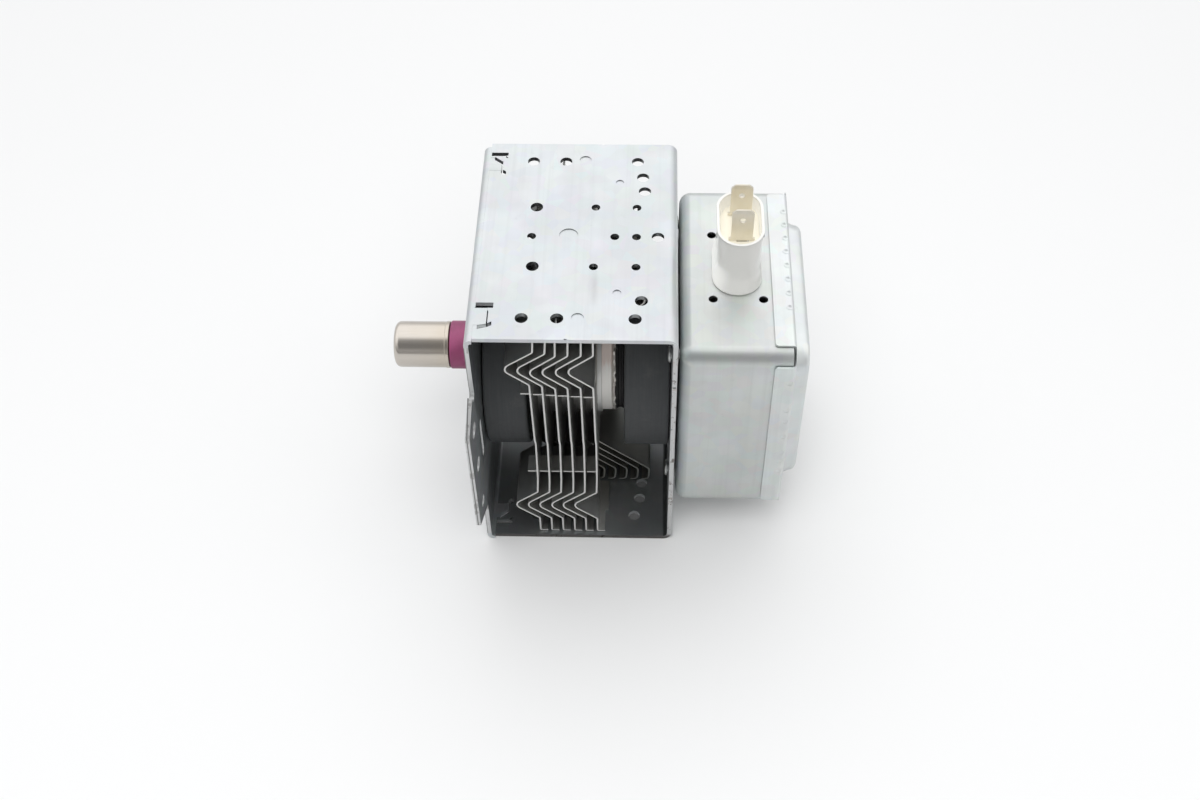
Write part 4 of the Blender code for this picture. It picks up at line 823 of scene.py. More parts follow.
class MAGNETRON_OT_yoke_frame(bpy.types.Operator):
    """Fold the yoke's U, pierce its side plates and half-shear its discs"""

    bl_idname = "magnetron.yoke_frame"
    bl_label = "Yoke frame"

    def execute(self, context):
        scene = context.scene
        colours = scene.magnetron_finish
        yoke = scene.magnetron_yoke
        names = ("sheet", "height", "length", "depth", "bend", "edge_round")
        sheet, height, far, depth, bend, edge_round = in_mm(yoke, *names)
        side = height / 2 - sheet / 2
        wall = far - sheet / 2
        start = LIP_REACH + SEAM
        edit = bmesh.new()
        corners = [(start, side), (wall, side), (wall, -side), (start, -side)]
        ribbon(edit, rounded(corners, [bend - sheet / 2] * 2, 12), -depth / 2, depth / 2)
        mesh = sheet_from(edit, sheet)
        through = (wall - sheet, wall + sheet, "X")
        tools = side_plate_tools(side, sheet / 2, yoke)
        tools.append(prism(circle((0, 0), STEM_HOLE, 96), *through))
        tools += [prism(circle(place, RIVET_HOLE), *through) for place in RIVETS]
        mesh = shade(soften(boolean(mesh, tools + nicks()), edge_round))
        show("yoke_sheet", mesh, yoke_steel(yoke, colours), "yoke_frame")
        return {"FINISHED"}


def lip_cut():
    """What is cut from the end plate's folded lip to leave its two tabs."""
    outline = [(LIP_REACH, -FAR), (LIP_REACH, -35.3), (3.6, -35.3), (TAB_REACH, -34.8)]
    outline += [(TAB_REACH, -28.75), (LIP_REACH, -28.75), (LIP_REACH, 28.3), (TAB_REACH, 28.3)]
    outline += [(TAB_REACH, 31.0), (3.75, 33.0), (3.6, 33.95), (LIP_REACH, 33.95)]
    return outline + [(LIP_REACH, FAR), (9, FAR), (9, -FAR)]


def ear_slopes():
    """Outlines in y and z that leave a sloped ear at the front and back of the plate."""
    outlines = []
    for edge in PLATE_EDGES:
        side = math.copysign(1, edge)
        slope = (EAR_TIP_Z - EAR_ROOT_Z) / (side * EAR_TIP_Y - edge)
        end = EAR_ROOT_Z + slope * (side * FAR - edge)
        points = [(edge, EAR_ROOT_Z), (edge, FAR), (side * FAR, FAR), (side * FAR, end)]
        outlines += [[(y, up * z) for y, z in points] for up in (-1, 1)]
    return outlines


def ear_openings():
    """Holes, notch and root slot of the front ear, and the same turned for the back ear."""
    root = PLATE_EDGES[0] + FIT
    front = [circle((-47.5, z), size) for z, size in ((16.5, 5.0), (0, 5.0), (-19.0, 4.0))]
    front.append(capsule((root - 1.6, 26.3), (root - 4.8, 59.6), 1.7))
    front.append(capsule((root + 3.6, -6.5), (root + 3.6, 6.5), 1.5))
    return front + [[(-y, -z) for y, z in outline] for outline in front]


class MAGNETRON_OT_end_plate(bpy.types.Operator):
    """Fold the end plate with its lips, staked tabs and two mounting ears"""

    bl_idname = "magnetron.end_plate"
    bl_label = "End plate"

    def execute(self, context):
        scene = context.scene
        colours = scene.magnetron_finish
        yoke = scene.magnetron_yoke
        sheet, height, bend, edge_round = in_mm(yoke, "sheet", "height", "lip_bend", "edge_round")
        half = sheet / 2
        side = height / 2 - half
        corners = [(TAB_REACH, side), (half, side), (half, -side), (TAB_REACH, -side)]
        edit = bmesh.new()
        ribbon(edit, rounded(corners, [bend - half] * 2, 10), -EAR_TIP_Y, EAR_TIP_Y)
        mesh = boolean(sheet_from(edit, sheet), [prism(o, -9, 9, "X") for o in ear_slopes()])
        mesh = boolean(mesh, [prism(lip_cut(), 45, 51), prism(flipped(lip_cut()), -51, -45)])
        openings = [circle((0, 0), ANTENNA_HOLE, 96), *ear_openings()]
        mesh = boolean(mesh, [prism(o, -half, sheet + half, "X") for o in openings])
        mesh = soften(mesh, edge_round)
        for vert in mesh.vertices:
            vert.co.x -= EAR_BEND * max(0.0, PLATE_EDGES[0] - vert.co.y)
        finish = plate_steel(yoke, colours)
        show("end_plate_sheet", shade(mesh), finish, "yoke_end_plate")
        return {"FINISHED"}


# Tube


VANE_LOW, VANE_HIGH, VANES = (23.6, -0.95, 4.5), (33.1, 0.95, 18.4), 10
SLEEVES = (("output", 15.2, 1, 8.2, -2.0), ("input", 41.5, -1, 9.0, 60.9))
RIM_RADIUS, RIM_TEETH = 20.0, 130


def welded_rim(start, sign):
    """The torn, drooping edge of a flange that is pressed and welded to the anode."""
    jitter = random.Random(7)
    root = RIM_RADIUS - 0.8
    edit = bmesh.new()
    rows = [[], [], [], []]
    for angle in around(RIM_TEETH):
        lift = jitter.uniform(-0.35, 0.35)
        lean = sign * jitter.uniform(0.0, 0.45)
        corners = [(root, start + 0.02 * sign), (RIM_RADIUS + lift, start + 0.05 * sign - lean)]
        corners.append((RIM_RADIUS + lift * 0.7, start + 0.6 * sign - lean))
        corners.append((root, start + 0.75 * sign))
        for row, (r, x) in zip(rows, corners):
            row.append(edit.verts.new((x, r * math.cos(angle), r * math.sin(angle))))
    skin(edit, rows + rows[:1], True)
    return to_mesh(edit)


def ring(outer, inner, start, end, radius):
    """A ring's closed profile with rounded edges, as (radius, x)."""
    return rounded_loop([(outer, start), (outer, end), (inner, end), (inner, start)], radius)


class MAGNETRON_OT_magnets(bpy.types.Operator):
    """Turn the two ring magnets and the black ring beside the tube"""

    bl_idname = "magnetron.magnets"
    bl_label = "Magnets"

    def execute(self, context):
        scene = context.scene
        colours = scene.magnetron_finish
        outer, inner = in_mm(scene.magnetron_tube, "magnet_diameter", "magnet_bore")
        finish = ferrite("ferrite_body", colours.ferrite)
        for end, start, stop in (("output", 1.7, 14.9), ("input", 44.5, 58.3)):
            mesh = shade(turned(ring(outer / 2, inner / 2, start, stop, 0.8), 160))
            show(f"ring_magnet_{end}", mesh, finish, f"magnet_{end}")
        black = plain("black_ring_finish", (0.02, 0.02, 0.021), 0.45, 0.0, 1400.0)
        profile = [(19.6, 41.8, 0.15), (19.6, 42.4, 0.1), (19.3, 42.6, 0.1), (19.3, 43.5, 0.1)]
        profile += [(19.6, 43.7, 0.1), (19.6, 44.2, 0.15), (9.6, 44.2, 0.3), (9.6, 41.8, 0.3)]
        mesh = shade(turned(bevelled(profile, 3)))
        show("black_spacer", mesh, black, "spacer_ring")
        return {"FINISHED"}


class MAGNETRON_OT_tube(bpy.types.Operator):
    """Turn the anode and the rims of its seal sleeves, and finish what is inside"""

    bl_idname = "magnetron.tube"
    bl_label = "Tube"

    def execute(self, context):
        scene = context.scene
        colours = scene.magnetron_finish
        outer = scene.magnetron_tube.anode_diameter / MM / 2
        profile = [(outer, 16.3, 0.4), (outer, 40.66, 0.4), (18.6, 40.66, 0.1), (18.6, 38.8, 0.1)]
        profile += [(17.5, 38.8, 0.1), (17.5, 17.9, 0.1), (18.6, 17.9, 0.1), (18.6, 16.3, 0.1)]
        parts = [turned(bevelled(profile, 3))]
        for angle in around(VANES):
            vane = block(VANE_LOW, VANE_HIGH)
            vane.transform(Matrix.Rotation(angle, 4, "X"))
            parts.append(vane)
        finish = anode_plating("anode_plating", colours.anode)
        show("anode_body", shade(joined(parts)), finish, "anode_block")
        finish = plated("rim_plating", colours.plating, 0.36, (0.46, 0.36, 0.34), 0.75)
        for end, start, sign, wall, tip in SLEEVES:
            step = start + 0.8 * sign
            profile = [(19.7, start, 0.3), (19.7, step, 0.3), (wall - 0.5, step, 0.8)]
            profile += [(wall - 0.5, tip, 0.15), (wall, tip, 0.15), (wall, start, 0.6)]
            mesh = joined([turned(bevelled(profile), 160), welded_rim(start, sign)])
            show(f"sleeve_{end}", shade(mesh, 40), finish, f"seal_sleeve_{end}")
        self.finish_inside(colours)
        return {"FINISHED"}

    def finish_inside(self, colours):
        """Finishes of the pieces that lie inside the tube and the filter box."""
        iron = plain("pole_iron_finish", (0.46, 0.46, 0.45), 0.4)
        copper = plain("lead_copper", colours.copper, 0.28)
        tungsten = plain("tungsten_finish", (0.3, 0.3, 0.31), 0.45)
        ceramic = plain("white_ceramic_finish", (0.84, 0.83, 0.79), 0.45, 0.0)
        steel = plain("plated_steel", (0.6, 0.6, 0.58), 0.32)
        for end in ("output", "input"):
            paint(iron, f"pole_piece_{end}")
            paint(copper, f"strap_{end}_inner", f"strap_{end}_outer")
            paint(tungsten, f"end_hat_{end}")
        paint(copper, "antenna_lead", "exhaust_tube")
        paint(tungsten, "cathode_filament", "cathode_centre_lead", "cathode_side_lead")
        paint(ceramic, "stem_ceramic", "capacitor_ceramic")
        paint(steel, "cathode_terminal_1", "cathode_terminal_2", "capacitor_ground_plate")


CAP_TIP, CAP_MOUTH, CAP_WALL = -29.0, -11.4, 0.5
GASKET_X, GASKET_RADIUS = -3.0, 11.85
GASKET_THICK, GASKET_WIDE = 2.45, 1.8
STRAND_TURNS, STRAND_STEPS = 9, 12


def strand(start, way, wire):
    """A wire of the gasket, wound round and round its ring."""
    edit = bmesh.new()
    rows = []
    for angle in around(STRAND_TURNS * STRAND_STEPS):
        across = start + way * STRAND_TURNS * angle
        lift = 0.06 * way * math.sin(across * 2 + angle * 7) - wire
        row = []
        for side in around(4):
            rise = (GASKET_THICK + lift) * math.cos(across) + wire * math.cos(side)
            x = GASKET_X + (GASKET_WIDE + lift) * math.sin(across) + wire * math.sin(side)
            r = GASKET_RADIUS + rise
            row.append(edit.verts.new((x, r * math.cos(angle), r * math.sin(angle))))
        rows.append(row)
    skin(edit, rows + [rows[0]], True)
    return to_mesh(edit)


class MAGNETRON_OT_antenna(bpy.types.Operator):
    """Draw the antenna's cap, turn its ceramic, and knit the gasket on its retainer"""

    bl_idname = "magnetron.antenna"
    bl_label = "Antenna"

    def execute(self, context):
        scene = context.scene
        colours = scene.magnetron_finish
        tube = scene.magnetron_tube
        outer, ceramic, wire = in_mm(tube, "cap_diameter", "ceramic_diameter", "gasket_wire")
        cap = outer / 2
        bead, inner = cap + 0.15, cap - CAP_WALL
        path = [(0, CAP_TIP), (cap, CAP_TIP), (cap, CAP_MOUTH - 1.35), (bead, CAP_MOUTH - 1.2)]
        path += [(bead, CAP_MOUTH), (inner, CAP_MOUTH), (inner, CAP_TIP + CAP_WALL)]
        path.append((0, CAP_TIP + CAP_WALL))
        mesh = shade(turned(rounded(path, [1.9, 0.1, 0.1, 0.3, 0.1, 1.4])), 24)
        show("cap_shell", mesh, nickel("cap_nickel", colours.nickel), "antenna_cap")
        mesh = shade(turned(ring(ceramic / 2, ceramic / 2 - 2.3, -11.1, -2.3, 0.35)))
        finish = magenta_ceramic("antenna_ceramic", colours.ceramic)
        show("ceramic_ring", mesh, finish, "output_ceramic")
        profile = [(13.9, -0.3, 0.15), (13.9, -0.7, 0.15), (8.9, -0.7, 0.5), (8.9, -4.3, 0.15)]
        mesh = shade(turned(bevelled([*profile, (8.5, -4.3, 0.15), (8.5, -0.3, 0.5)])))
        finish = plated("retainer_plating", colours.plating, 0.34)
        show("retainer_plate", mesh, finish, "gasket_retainer")
        self.knit_gasket(wire / 2, tube.gasket_strands)
        return {"FINISHED"}

    def knit_gasket(self, wire, strands):
        """Wires wound both ways round a core, like a knitted sleeve."""
        thick, wide = GASKET_THICK - 0.25, GASKET_WIDE - 0.25
        core = [(thick * math.cos(a), wide * math.sin(a)) for a in around(20)]
        parts = [turned([(GASKET_RADIUS + r, GASKET_X + x) for r, x in core], 96)]
        for way in (-1, 1):
            for k in range(strands):
                parts.append(strand(2 * math.pi * (k + 0.25 * way) / strands, way, wire))
        finish = plain("gasket_wire_finish", (0.62, 0.57, 0.45), 0.3)
        show("knitted_gasket", shade(joined(parts), 60), finish, "rf_gasket")


# Fins


FIN_PLACES = (17.3, 21.02, 24.74, 28.46, 32.18, 35.9)
FIN_TOP_SHIFT = (1.35, 0.85, -0.25, 0.05, 0.15, 0.25)
FIN_KINK = (0.6, 0.45, 0.5, 0.35, 0.3, 0.35)
FIN_LEAN = (1.9, 1.7, 0.65, 0.6, 0.55, 0.2)
GUIDE_TOP, GUIDE_LEAN, GUIDE_LOW = 19.7, 0.26, 18.6
GUIDE_REACH, GUIDE_NEAR, GUIDE_FAR, WINDOW = 3.25, 30.1, 36.1, 3.5
COLLAR_BORE = 20.3
FLOOR, WING_FOOT, TOP_WING_SHORT = 47.05, 46.25, 2.2
SLIT_LINES = (-39.0, -19.0, -18.4, 18.4, 19.0, 39.0)
FOLD_START, FOLD_TIP, FOLD_END = 21.2, 14.1, 6.9
FOOT_SHORT, FOOT_LONG, FOOT_STEP = 2.4, 3.4, 30.8


def tongue_path(reach, shift):
    """A folded tongue from the flat of the fin to its foot, as (x, distance from the axis)."""
    start = FLOOR - FOLD_START + shift
    path = [(0, start - 1.0), (0, start), (-reach, FLOOR - FOLD_TIP + shift)]
    path += [(0, FLOOR - FOLD_END + shift), (0, FLOOR), (FOOT_SHORT, FLOOR)]
    return rounded(path, [1.0, 2.3, 1.0, 0.5], 6)


def wing_path(reach, shift):
    """The swept middle of a fin, down to its foot."""
    start = FLOOR - FOLD_START + shift
    path = [(0, start - 1.0), (0, start), (reach, WING_FOOT - 5.6), (reach - 0.4, WING_FOOT)]
    return rounded([*path, (reach - 2.6, WING_FOOT)], [1.0, 2.2, 1.3], 6)


def lengthen_foot(edit, inner, outer):
    """Lengthens a tongue's foot over the part nearer the slit."""
    line = math.copysign(FOOT_STEP, outer[0].co.y)
    share = (line - inner[-1].co.y) / (outer[-1].co.y - inner[-1].co.y)
    edge = edit.edges.get((inner[-1], outer[-1]))
    _, step = bmesh.utils.edge_split(edge, inner[-1], share)
    ends = [edit.verts.new((FOOT_LONG, vert.co.y, inner[-1].co.z)) for vert in (inner[-1], step)]
    edit.faces.new((inner[-1], step, ends[1], ends[0]))


def fin_surface(reach, wing, shift):
    """A fin's middle surface: a flat in strips, and two tongues and a wing at each end. The top
    tongues have no feet."""
    edit = bmesh.new()
    low, high = FOLD_START + 1.0 - FLOOR, FLOOR - FOLD_START - 1.0 + shift
    levels = [low, -19.0, -10.0, -0.8, 1.0, 10.0, 19.0, high]
    rows = [[edit.verts.new((0, y, z)) for y in SLIT_LINES] for z in levels]
    skin(edit, rows, False)
    tongues = tongue_path(reach, 0.0), tongue_path(reach, shift)[:-1]
    wings = wing_path(wing, 0.0), wing_path(wing - TOP_WING_SHORT, shift)
    for up, row, tongue, middle in zip((-1, 1), (rows[0], rows[-1]), tongues, wings):
        for k, path in ((0, tongue), (2, middle), (4, tongue)):
            path = [(x, up * z) for x, z in path]
            first, last = ribbon(edit, path, SLIT_LINES[k], SLIT_LINES[k + 1], (row[k], row[k + 1]))
            if k != 2 and up < 0:
                lengthen_foot(edit, *((first, last) if k == 4 else (last, first)))
    return edit


def fin_sheet(fins, number):
    """One fin: its folded surface, thickened, with a collar, air guides and their windows."""
    sheet, reach, wing = in_mm(fins, "sheet", "fold_reach", "wing_reach")
    mesh = sheet_from(fin_surface(reach, wing, FIN_TOP_SHIFT[number]), sheet)
    half = sheet / 2
    root, bore = 0.02 - half, COLLAR_BORE
    flare = [(bore + 1.1, root, 0.0), (bore + 0.7, 0.9, 0.8), (bore + 0.55, 1.5, 0.1)]
    flare += [(bore, 1.5, 0.1), (bore, 0.3, 0.8), (bore - 0.6, root, 0.0)]
    added, windows = [turned(bevelled(flare), 96)], []
    for side in (-1, 1):
        low, high = sorted((side * GUIDE_FAR, side * GUIDE_NEAR))
        for up in (-1, 1):
            z = GUIDE_TOP - GUIDE_LEAN * number if up > 0 else -GUIDE_LOW
            added.append(block((-GUIDE_REACH, low, z - half), (0, high, z + half)))
            near, far = sorted((z + up * half, z + up * WINDOW))
            windows.append(block((-1, low, near), (1, high, far)))
    mesh = boolean(mesh, added, "UNION")
    windows.append(prism(circle((0, 0), 2 * bore - 0.02, 96), -2, 4, "X"))
    mesh = boolean(mesh, windows)
    bend_fin(mesh, number)
    return shade(mesh, 30)


def bend_fin(mesh, number):
    """Kinks the fin's front and back at mid height, and leans its top front corner, as handling
    leaves them."""
    ripple = random.Random(40 + number).uniform(-0.12, 0.12)
    shape = ((-24.5, 0.0), (-19.0, 0.55), (-0.8, 0.95), (1.0, 0.55), (24.5, 0.0))
    for vert in mesh.vertices:
        _, y, z = vert.co
        away = min(1.0, max(0.0, (abs(y) - 22.0) / 12.0))
        for (low, first), (high, second) in zip(shape, shape[1:]):
            if low <= z < high:
                share = (z - low) / (high - low)
                vert.co.x += away * FIN_KINK[number] * (first + (second - first) * share)
        if y < 0 and z > 32:
            vert.co.x += away * FIN_LEAN[number] * min(1.0, (z - 32) / 12)
        vert.co.x += away * ripple * math.sin(z / 17.0)


class MAGNETRON_OT_fins(bpy.types.Operator):
    """Fold, slit and lance the cooling fins"""

    bl_idname = "magnetron.fins"
    bl_label = "Cooling fins"

    def execute(self, context):
        scene = context.scene
        colours = scene.magnetron_finish
        finish = sheet_aluminium("fin_sheet_finish", colours.aluminium)
        for number in range(scene.magnetron_fins.count):
            mesh = fin_sheet(scene.magnetron_fins, number)
            mesh.transform(Matrix.Translation((FIN_PLACES[number], 0, 0)))
            name = f"fin_sheet_{number + 1}"
            show(name, mesh, finish, f"cooling_fin_{number + 1}")
        return {"FINISHED"}


# Filter box


BOX_START, BOX_END = 60.9, 93.4
SUPPLY_X, SUPPLY_Y = 78.0, 0.6
SCREW_X, SCREW_Y, SCREW_HOLE = 7.4, 13.3, 2.7
CASE_BEND, LID_BEND, PANEL_BEND, EDGE_ROUND = 3.2, 0.9, 2.0, 0.1
SKIRT, NOTCH, NOTCH_REACH, PANEL = 5.3, 3.8, 9, 30.1
CRIMP_X, CRIMP_DEPTH = 92.9, 0.4
CRIMP_Y = (23.3, 17.6, 11.9, 6.2, 0.5, -5.2, -10.9, -16.7)
CRIMP_Z = (25.8, 13.3, 8.0, 0.6, -7.4, -11.5, -16.7)


def drawn(rows, sheet):
    """A drawn cup: a skin through round-cornered rectangles, closed at the last, thickened.
    Each row is x, half depth, half height and corner radius."""
    edit = bmesh.new()
    loops = []
    for x, half_y, half_z, corner in rows:
        outline = rectangle(half_y, half_z, corner, 8)
        loops.append([edit.verts.new((x, y, z)) for y, z in outline])
    skin(edit, loops, True)
    edit.faces.new(loops[-1])
    return sheet_from(edit, sheet)


def bend_rows(x, half_y, half_z, corner, radius, steps, sign=1):
    """Rows of a rounded fold from the walls into the face at x."""
    rows = []
    for k in range(steps + 1):
        angle = math.pi / 2 * k / steps
        inset = radius * (1 - math.cos(angle))
        depth = x - sign * radius * (1 - math.sin(angle))
        rows.append((depth, half_y - inset, half_z - inset, corner - inset))
    return rows


class MAGNETRON_OT_filter_case(bpy.types.Operator):
    """Draw the filter box's case and pierce it for the stem, rivets and capacitor"""

    bl_idname = "magnetron.filter_case"
    bl_label = "Filter case"

    def execute(self, context):
        scene = context.scene
        colours = scene.magnetron_finish
        box = scene.magnetron_filter
        sheet, depth, height, corner = in_mm(box, "sheet", "depth", "height", "corner")
        half = sheet / 2
        walls = (depth / 2 - half, height / 2 - half, corner - half)
        floor, top = BOX_START + half, walls[1]
        rows = [(BOX_END, *walls), (floor + 12, *walls)]
        mesh = drawn(rows + bend_rows(floor, *walls, CASE_BEND, 8, -1), sheet)
        through = (BOX_START - 1, floor + 1, "X")
        tools = [prism(circle((0, 0), STEM_HOLE, 96), *through)]
        tools += [prism(circle(place, RIVET_HOLE), *through) for place in RIVETS]
        slot = [(x + SUPPLY_X, y + SUPPLY_Y) for x, y in stadium(6.2, 17.6)]
        tools.append(prism(slot, top - 1, top + 1))
        for x in (SUPPLY_X - SCREW_X, SUPPLY_X + SCREW_X):
            for y in (SUPPLY_Y - SCREW_Y, SUPPLY_Y + SCREW_Y):
                tools.append(prism(circle((x, y), SCREW_HOLE), top - 1, top + 1))
        mesh = shade(soften(boolean(mesh, tools), EDGE_ROUND))
        finish = galvanised("case_zinc", colours.box_zinc, 0.36, "X")
        show("case_sheet", mesh, finish, "filter_box_case")
        self.rivets()
        return {"FINISHED"}

    def rivets(self):
        """Shouldered rivets between the yoke's wall and the case."""
        steel = plain("rivet_steel", (0.62, 0.63, 0.62), 0.3)
        path = [(0, 62.7), (2.3, 62.7), (2.8, 61.8), (1.5, 61.8), (1.5, 60.6), (2.8, 60.6)]
        path += [(2.8, 60.3), (1.5, 60.3), (1.5, 58.3), (2.8, 58.3), (2.3, 57.4), (0, 57.4)]
        path = rounded(path, [0.6, 0.3, 0.1, 0.05, 0.15, 0.15, 0.05, 0.1, 0.3, 0.6], 4)
        for number, place in enumerate(RIVETS, start=1):
            mesh = shade(turned(path, 32, place))
            show(f"rivet_{number}", mesh, steel, f"case_rivet_{number}")


class MAGNETRON_OT_filter_lid(bpy.types.Operator):
    """Draw the lid with its raised panel, notch its corners and crimp its skirt"""

    bl_idname = "magnetron.filter_lid"
    bl_label = "Filter lid"

    def execute(self, context):
        scene = context.scene
        colours = scene.magnetron_finish
        names = ("sheet", "depth", "height", "corner", "panel_rise", "crimp")
        sheet, depth, height, corner, rise, crimp = in_mm(scene.magnetron_filter, *names)
        half = sheet / 2
        side, top = depth / 2, height / 2
        walls = (side + FIT + half, top + FIT + half, corner + FIT + half)
        face, skirt = BOX_END + FIT + half, BOX_END - SKIRT
        rows = [(skirt, *walls), (face - 3, *walls), *bend_rows(face, *walls, LID_BEND, 5)]
        steps = ((0, 0.9, 7.9), (0.12, 0.3, 7.4), (0.5, 0.0, 7.0))
        rows += [(face + up, PANEL + out, PANEL + out, radius) for up, out, radius in steps]
        rows += bend_rows(face + rise, PANEL - 0.9, PANEL - 0.9, 6.4, PANEL_BEND, 6)
        mesh = drawn(rows, sheet)
        low_y, low_z = side - NOTCH, top - NOTCH
        far_y, far_z = side + NOTCH_REACH, top + NOTCH_REACH
        outline = [(low_y, far_z), (low_y, low_z), (far_y, low_z), (far_y, far_z)]
        signs = [(hand, up) for hand in (-1, 1) for up in (-1, 1)]
        notches = [[(hand * y, up * z) for y, z in outline] for hand, up in signs]
        mesh = boolean(mesh, [prism(notch, 60, face + 0.05, "X") for notch in notches])
        mesh = boolean(mesh, self.skirt_corners(skirt, low_y, low_z))
        mesh = boolean(mesh, self.crimps(crimp, walls[0] + half, walls[1] + half))
        finish = galvanised("lid_zinc", colours.lid_zinc, 0.34, "X")
        mesh = shade(soften(mesh, EDGE_ROUND))
        show("lid_sheet", mesh, finish, "filter_box_lid")
        return {"FINISHED"}

    def skirt_corners(self, x, y, z):
        """What rounds the corners of the four skirts beside the notches."""
        tools = []
        for edge, low, facing in ((y, z, "Z"), (z, y, "Y")):
            for hand in (-1, 1):
                curve = [(a, hand * b) for a, b in arc((x + 1, edge - 1), 1, 180, 90, 6)]
                outline = [(x - 1, hand * (edge - 1)), *curve, (x + 1, hand * (edge + 1))]
                outline.append((x - 1, hand * (edge + 1)))
                for up in (-1, 1):
                    ends = sorted((up * (low + 2.5), up * (low + NOTCH_REACH)))
                    tools.append(prism(outline, *ends, facing))
        return tools

    def crimps(self, radius, half_y, half_z):
        """Small round punches along the skirt, near its fold."""
        y_out, z_out = half_y + radius - CRIMP_DEPTH, half_z + radius - CRIMP_DEPTH
        places = [(y, up * z_out) for up in (-1, 1) for y in CRIMP_Y]
        places += [(hand * y_out, z) for hand in (-1, 1) for z in CRIMP_Z]
        return [ball((CRIMP_X, *place), radius) for place in places]


# Capacitor and chokes


TAB_Y, TAB_STEP = 0.8, 5.2
SHELL_BASE, SHELL_RIM = 36.6, 56.6
# The insulator's levels up from its base, and down from its rim, with their width and length
SHELL_LOW = (
    (0, 14.4, 23.6),
    (0, 14.8, 24.0),
    (0.25, 14.9, 24.2),
    (0.8, 14.9, 24.2),
    (1.6, 14.75, 24.0),
    (3.0, 14.3, 23.5),
    (4.8, 13.6, 22.9),
    (6.6, 13.0, 22.4),
    (10, 12.8, 22.2),
)
SHELL_HIGH = (
    (4.6, 12.9, 22.3),
    (1.6, 13.4, 22.7),
    (0.5, 13.8, 23.0),
    (0.1, 13.7, 22.9),
    (0, 13.4, 22.6),
    (0, 12.4, 21.6),
    (0.1, 12.1, 21.3),
    (0.35, 12.0, 21.2),
    (4.0, 11.6, 20.8),
    (4.55, 11.3, 20.5),
    (4.7, 10.7, 19.9),
)


class MAGNETRON_OT_supply(bpy.types.Operator):
    """Mould the capacitor's insulator and blank its push-on tabs"""

    bl_idname = "magnetron.supply"
    bl_label = "Supply connector"

    def execute(self, context):
        scene = context.scene
        colours = scene.magnetron_finish
        levels = [(SHELL_BASE + rise, width, long) for rise, width, long in SHELL_LOW]
        levels += [(SHELL_RIM - drop, width, long) for drop, width, long in SHELL_HIGH]
        mesh = lofted([[(x, y, z) for x, y in stadium(width, long)] for z, width, long in levels])
        slots = [rectangle(1.8, 0.65, 0.05, 1, (0.7, TAB_Y + a * TAB_STEP)) for a in (-1, 1)]
        mesh = boolean(mesh, [prism(slot, SHELL_BASE - 1, SHELL_RIM + 1) for slot in slots])
        mesh.transform(Matrix.Translation((SUPPLY_X - 0.12, SUPPLY_Y, 0)))
        cream = moulded_cream("shell_cream", colours.cream, colours.warm)
        show("insulator_shell", shade(mesh, 40), cream, "capacitor_shell")
        paint(plain("inner_case_cream", colours.cream, 0.4, 0.0), "capacitor_inner_case")
        self.tabs(scene.magnetron_filter, colours)
        return {"FINISHED"}

    def tabs(self, box, colours):
        """Blades with chamfered edges and a locking hole, on shoulders and necks."""
        width, thickness = in_mm(box, "tab_width", "tab_sheet")
        blade, sheet = width / 2, thickness / 2
        foot, shoulder, top, neck_end = 52.2, 52.9, 63.9, 18.9
        half = [(1.5, neck_end, 0.1), (1.5, foot, 0.1), (3.8, foot, 0.2), (3.8, shoulder, 0.2)]
        half += [(blade, shoulder, 0.15), (blade, top - 1.2, 0.25), (blade - 1.2, top, 0.25)]
        outline = bevelled(half + [(-x, z, radius) for x, z, radius in half[::-1]])
        wedge = [(0.14, top + 1), (2, top + 1), (2, top - 1.3), (sheet, top - 1.3)]
        finish = tinned_brass("tab_tin", colours.tin)
        for number, side in enumerate((-1, 1), start=1):
            tools = [prism(circle((0, top - 3.9), 1.8, 32), -2, 2, "Y")]
            tools += [prism([(a * y, z) for y, z in wedge], -9, 9, "X") for a in (-1, 1)]
            mesh = soften(boolean(prism(outline, -sheet, sheet, "Y"), tools), 0.07)
            place = (SUPPLY_X + 0.3, SUPPLY_Y + TAB_Y + side * TAB_STEP, 0)
            mesh.transform(Matrix.Translation(place))
            name = f"push_on_tab_{number}"
            show(name, shade(mesh), finish, f"supply_terminal_{number}")


class MAGNETRON_OT_chokes(bpy.types.Operator):
    """Finish the chokes inside the filter box"""

    bl_idname = "magnetron.chokes"
    bl_label = "Chokes"

    def execute(self, context):
        scene = context.scene
        colours = scene.magnetron_finish
        wire = plain("enamelled_wire", (0.55, 0.2, 0.07), 0.2, 0.7, 1600.0)
        paint(ferrite("core_ferrite", colours.ferrite), "choke_core_1", "choke_core_2")
        paint(wire, "choke_coil_1", "choke_coil_2")
        return {"FINISHED"}


# Stage


VIEWER = (0.043, -0.657, 0.753)
WHITE = (1.0, 1.0, 1.0)
TABLE_REACH, LAMP_SIZE = 4, 0.9
# Half sizes of the painted shadow on the table under the yoke.
UNDER_X, UNDER_Y = 0.03, 0.0395
AIM = Vector((0.0, 0.0, 0.04))


def camera_matrix(place, tilt, turn, roll):
    """Where the camera stands and how it looks down at the part."""
    level = math.cos(tilt)
    ahead = Vector((math.sin(turn) * level, math.cos(turn) * level, -math.sin(tilt)))
    right = Vector((math.cos(turn), -math.sin(turn), 0.0))
    up = right.cross(ahead)
    across = right * math.cos(roll) + up * math.sin(roll)
    over = up * math.cos(roll) - right * math.sin(roll)
    matrix = Matrix((across, over, -ahead)).transposed().to_4x4()
    matrix.translation = place
    return matrix


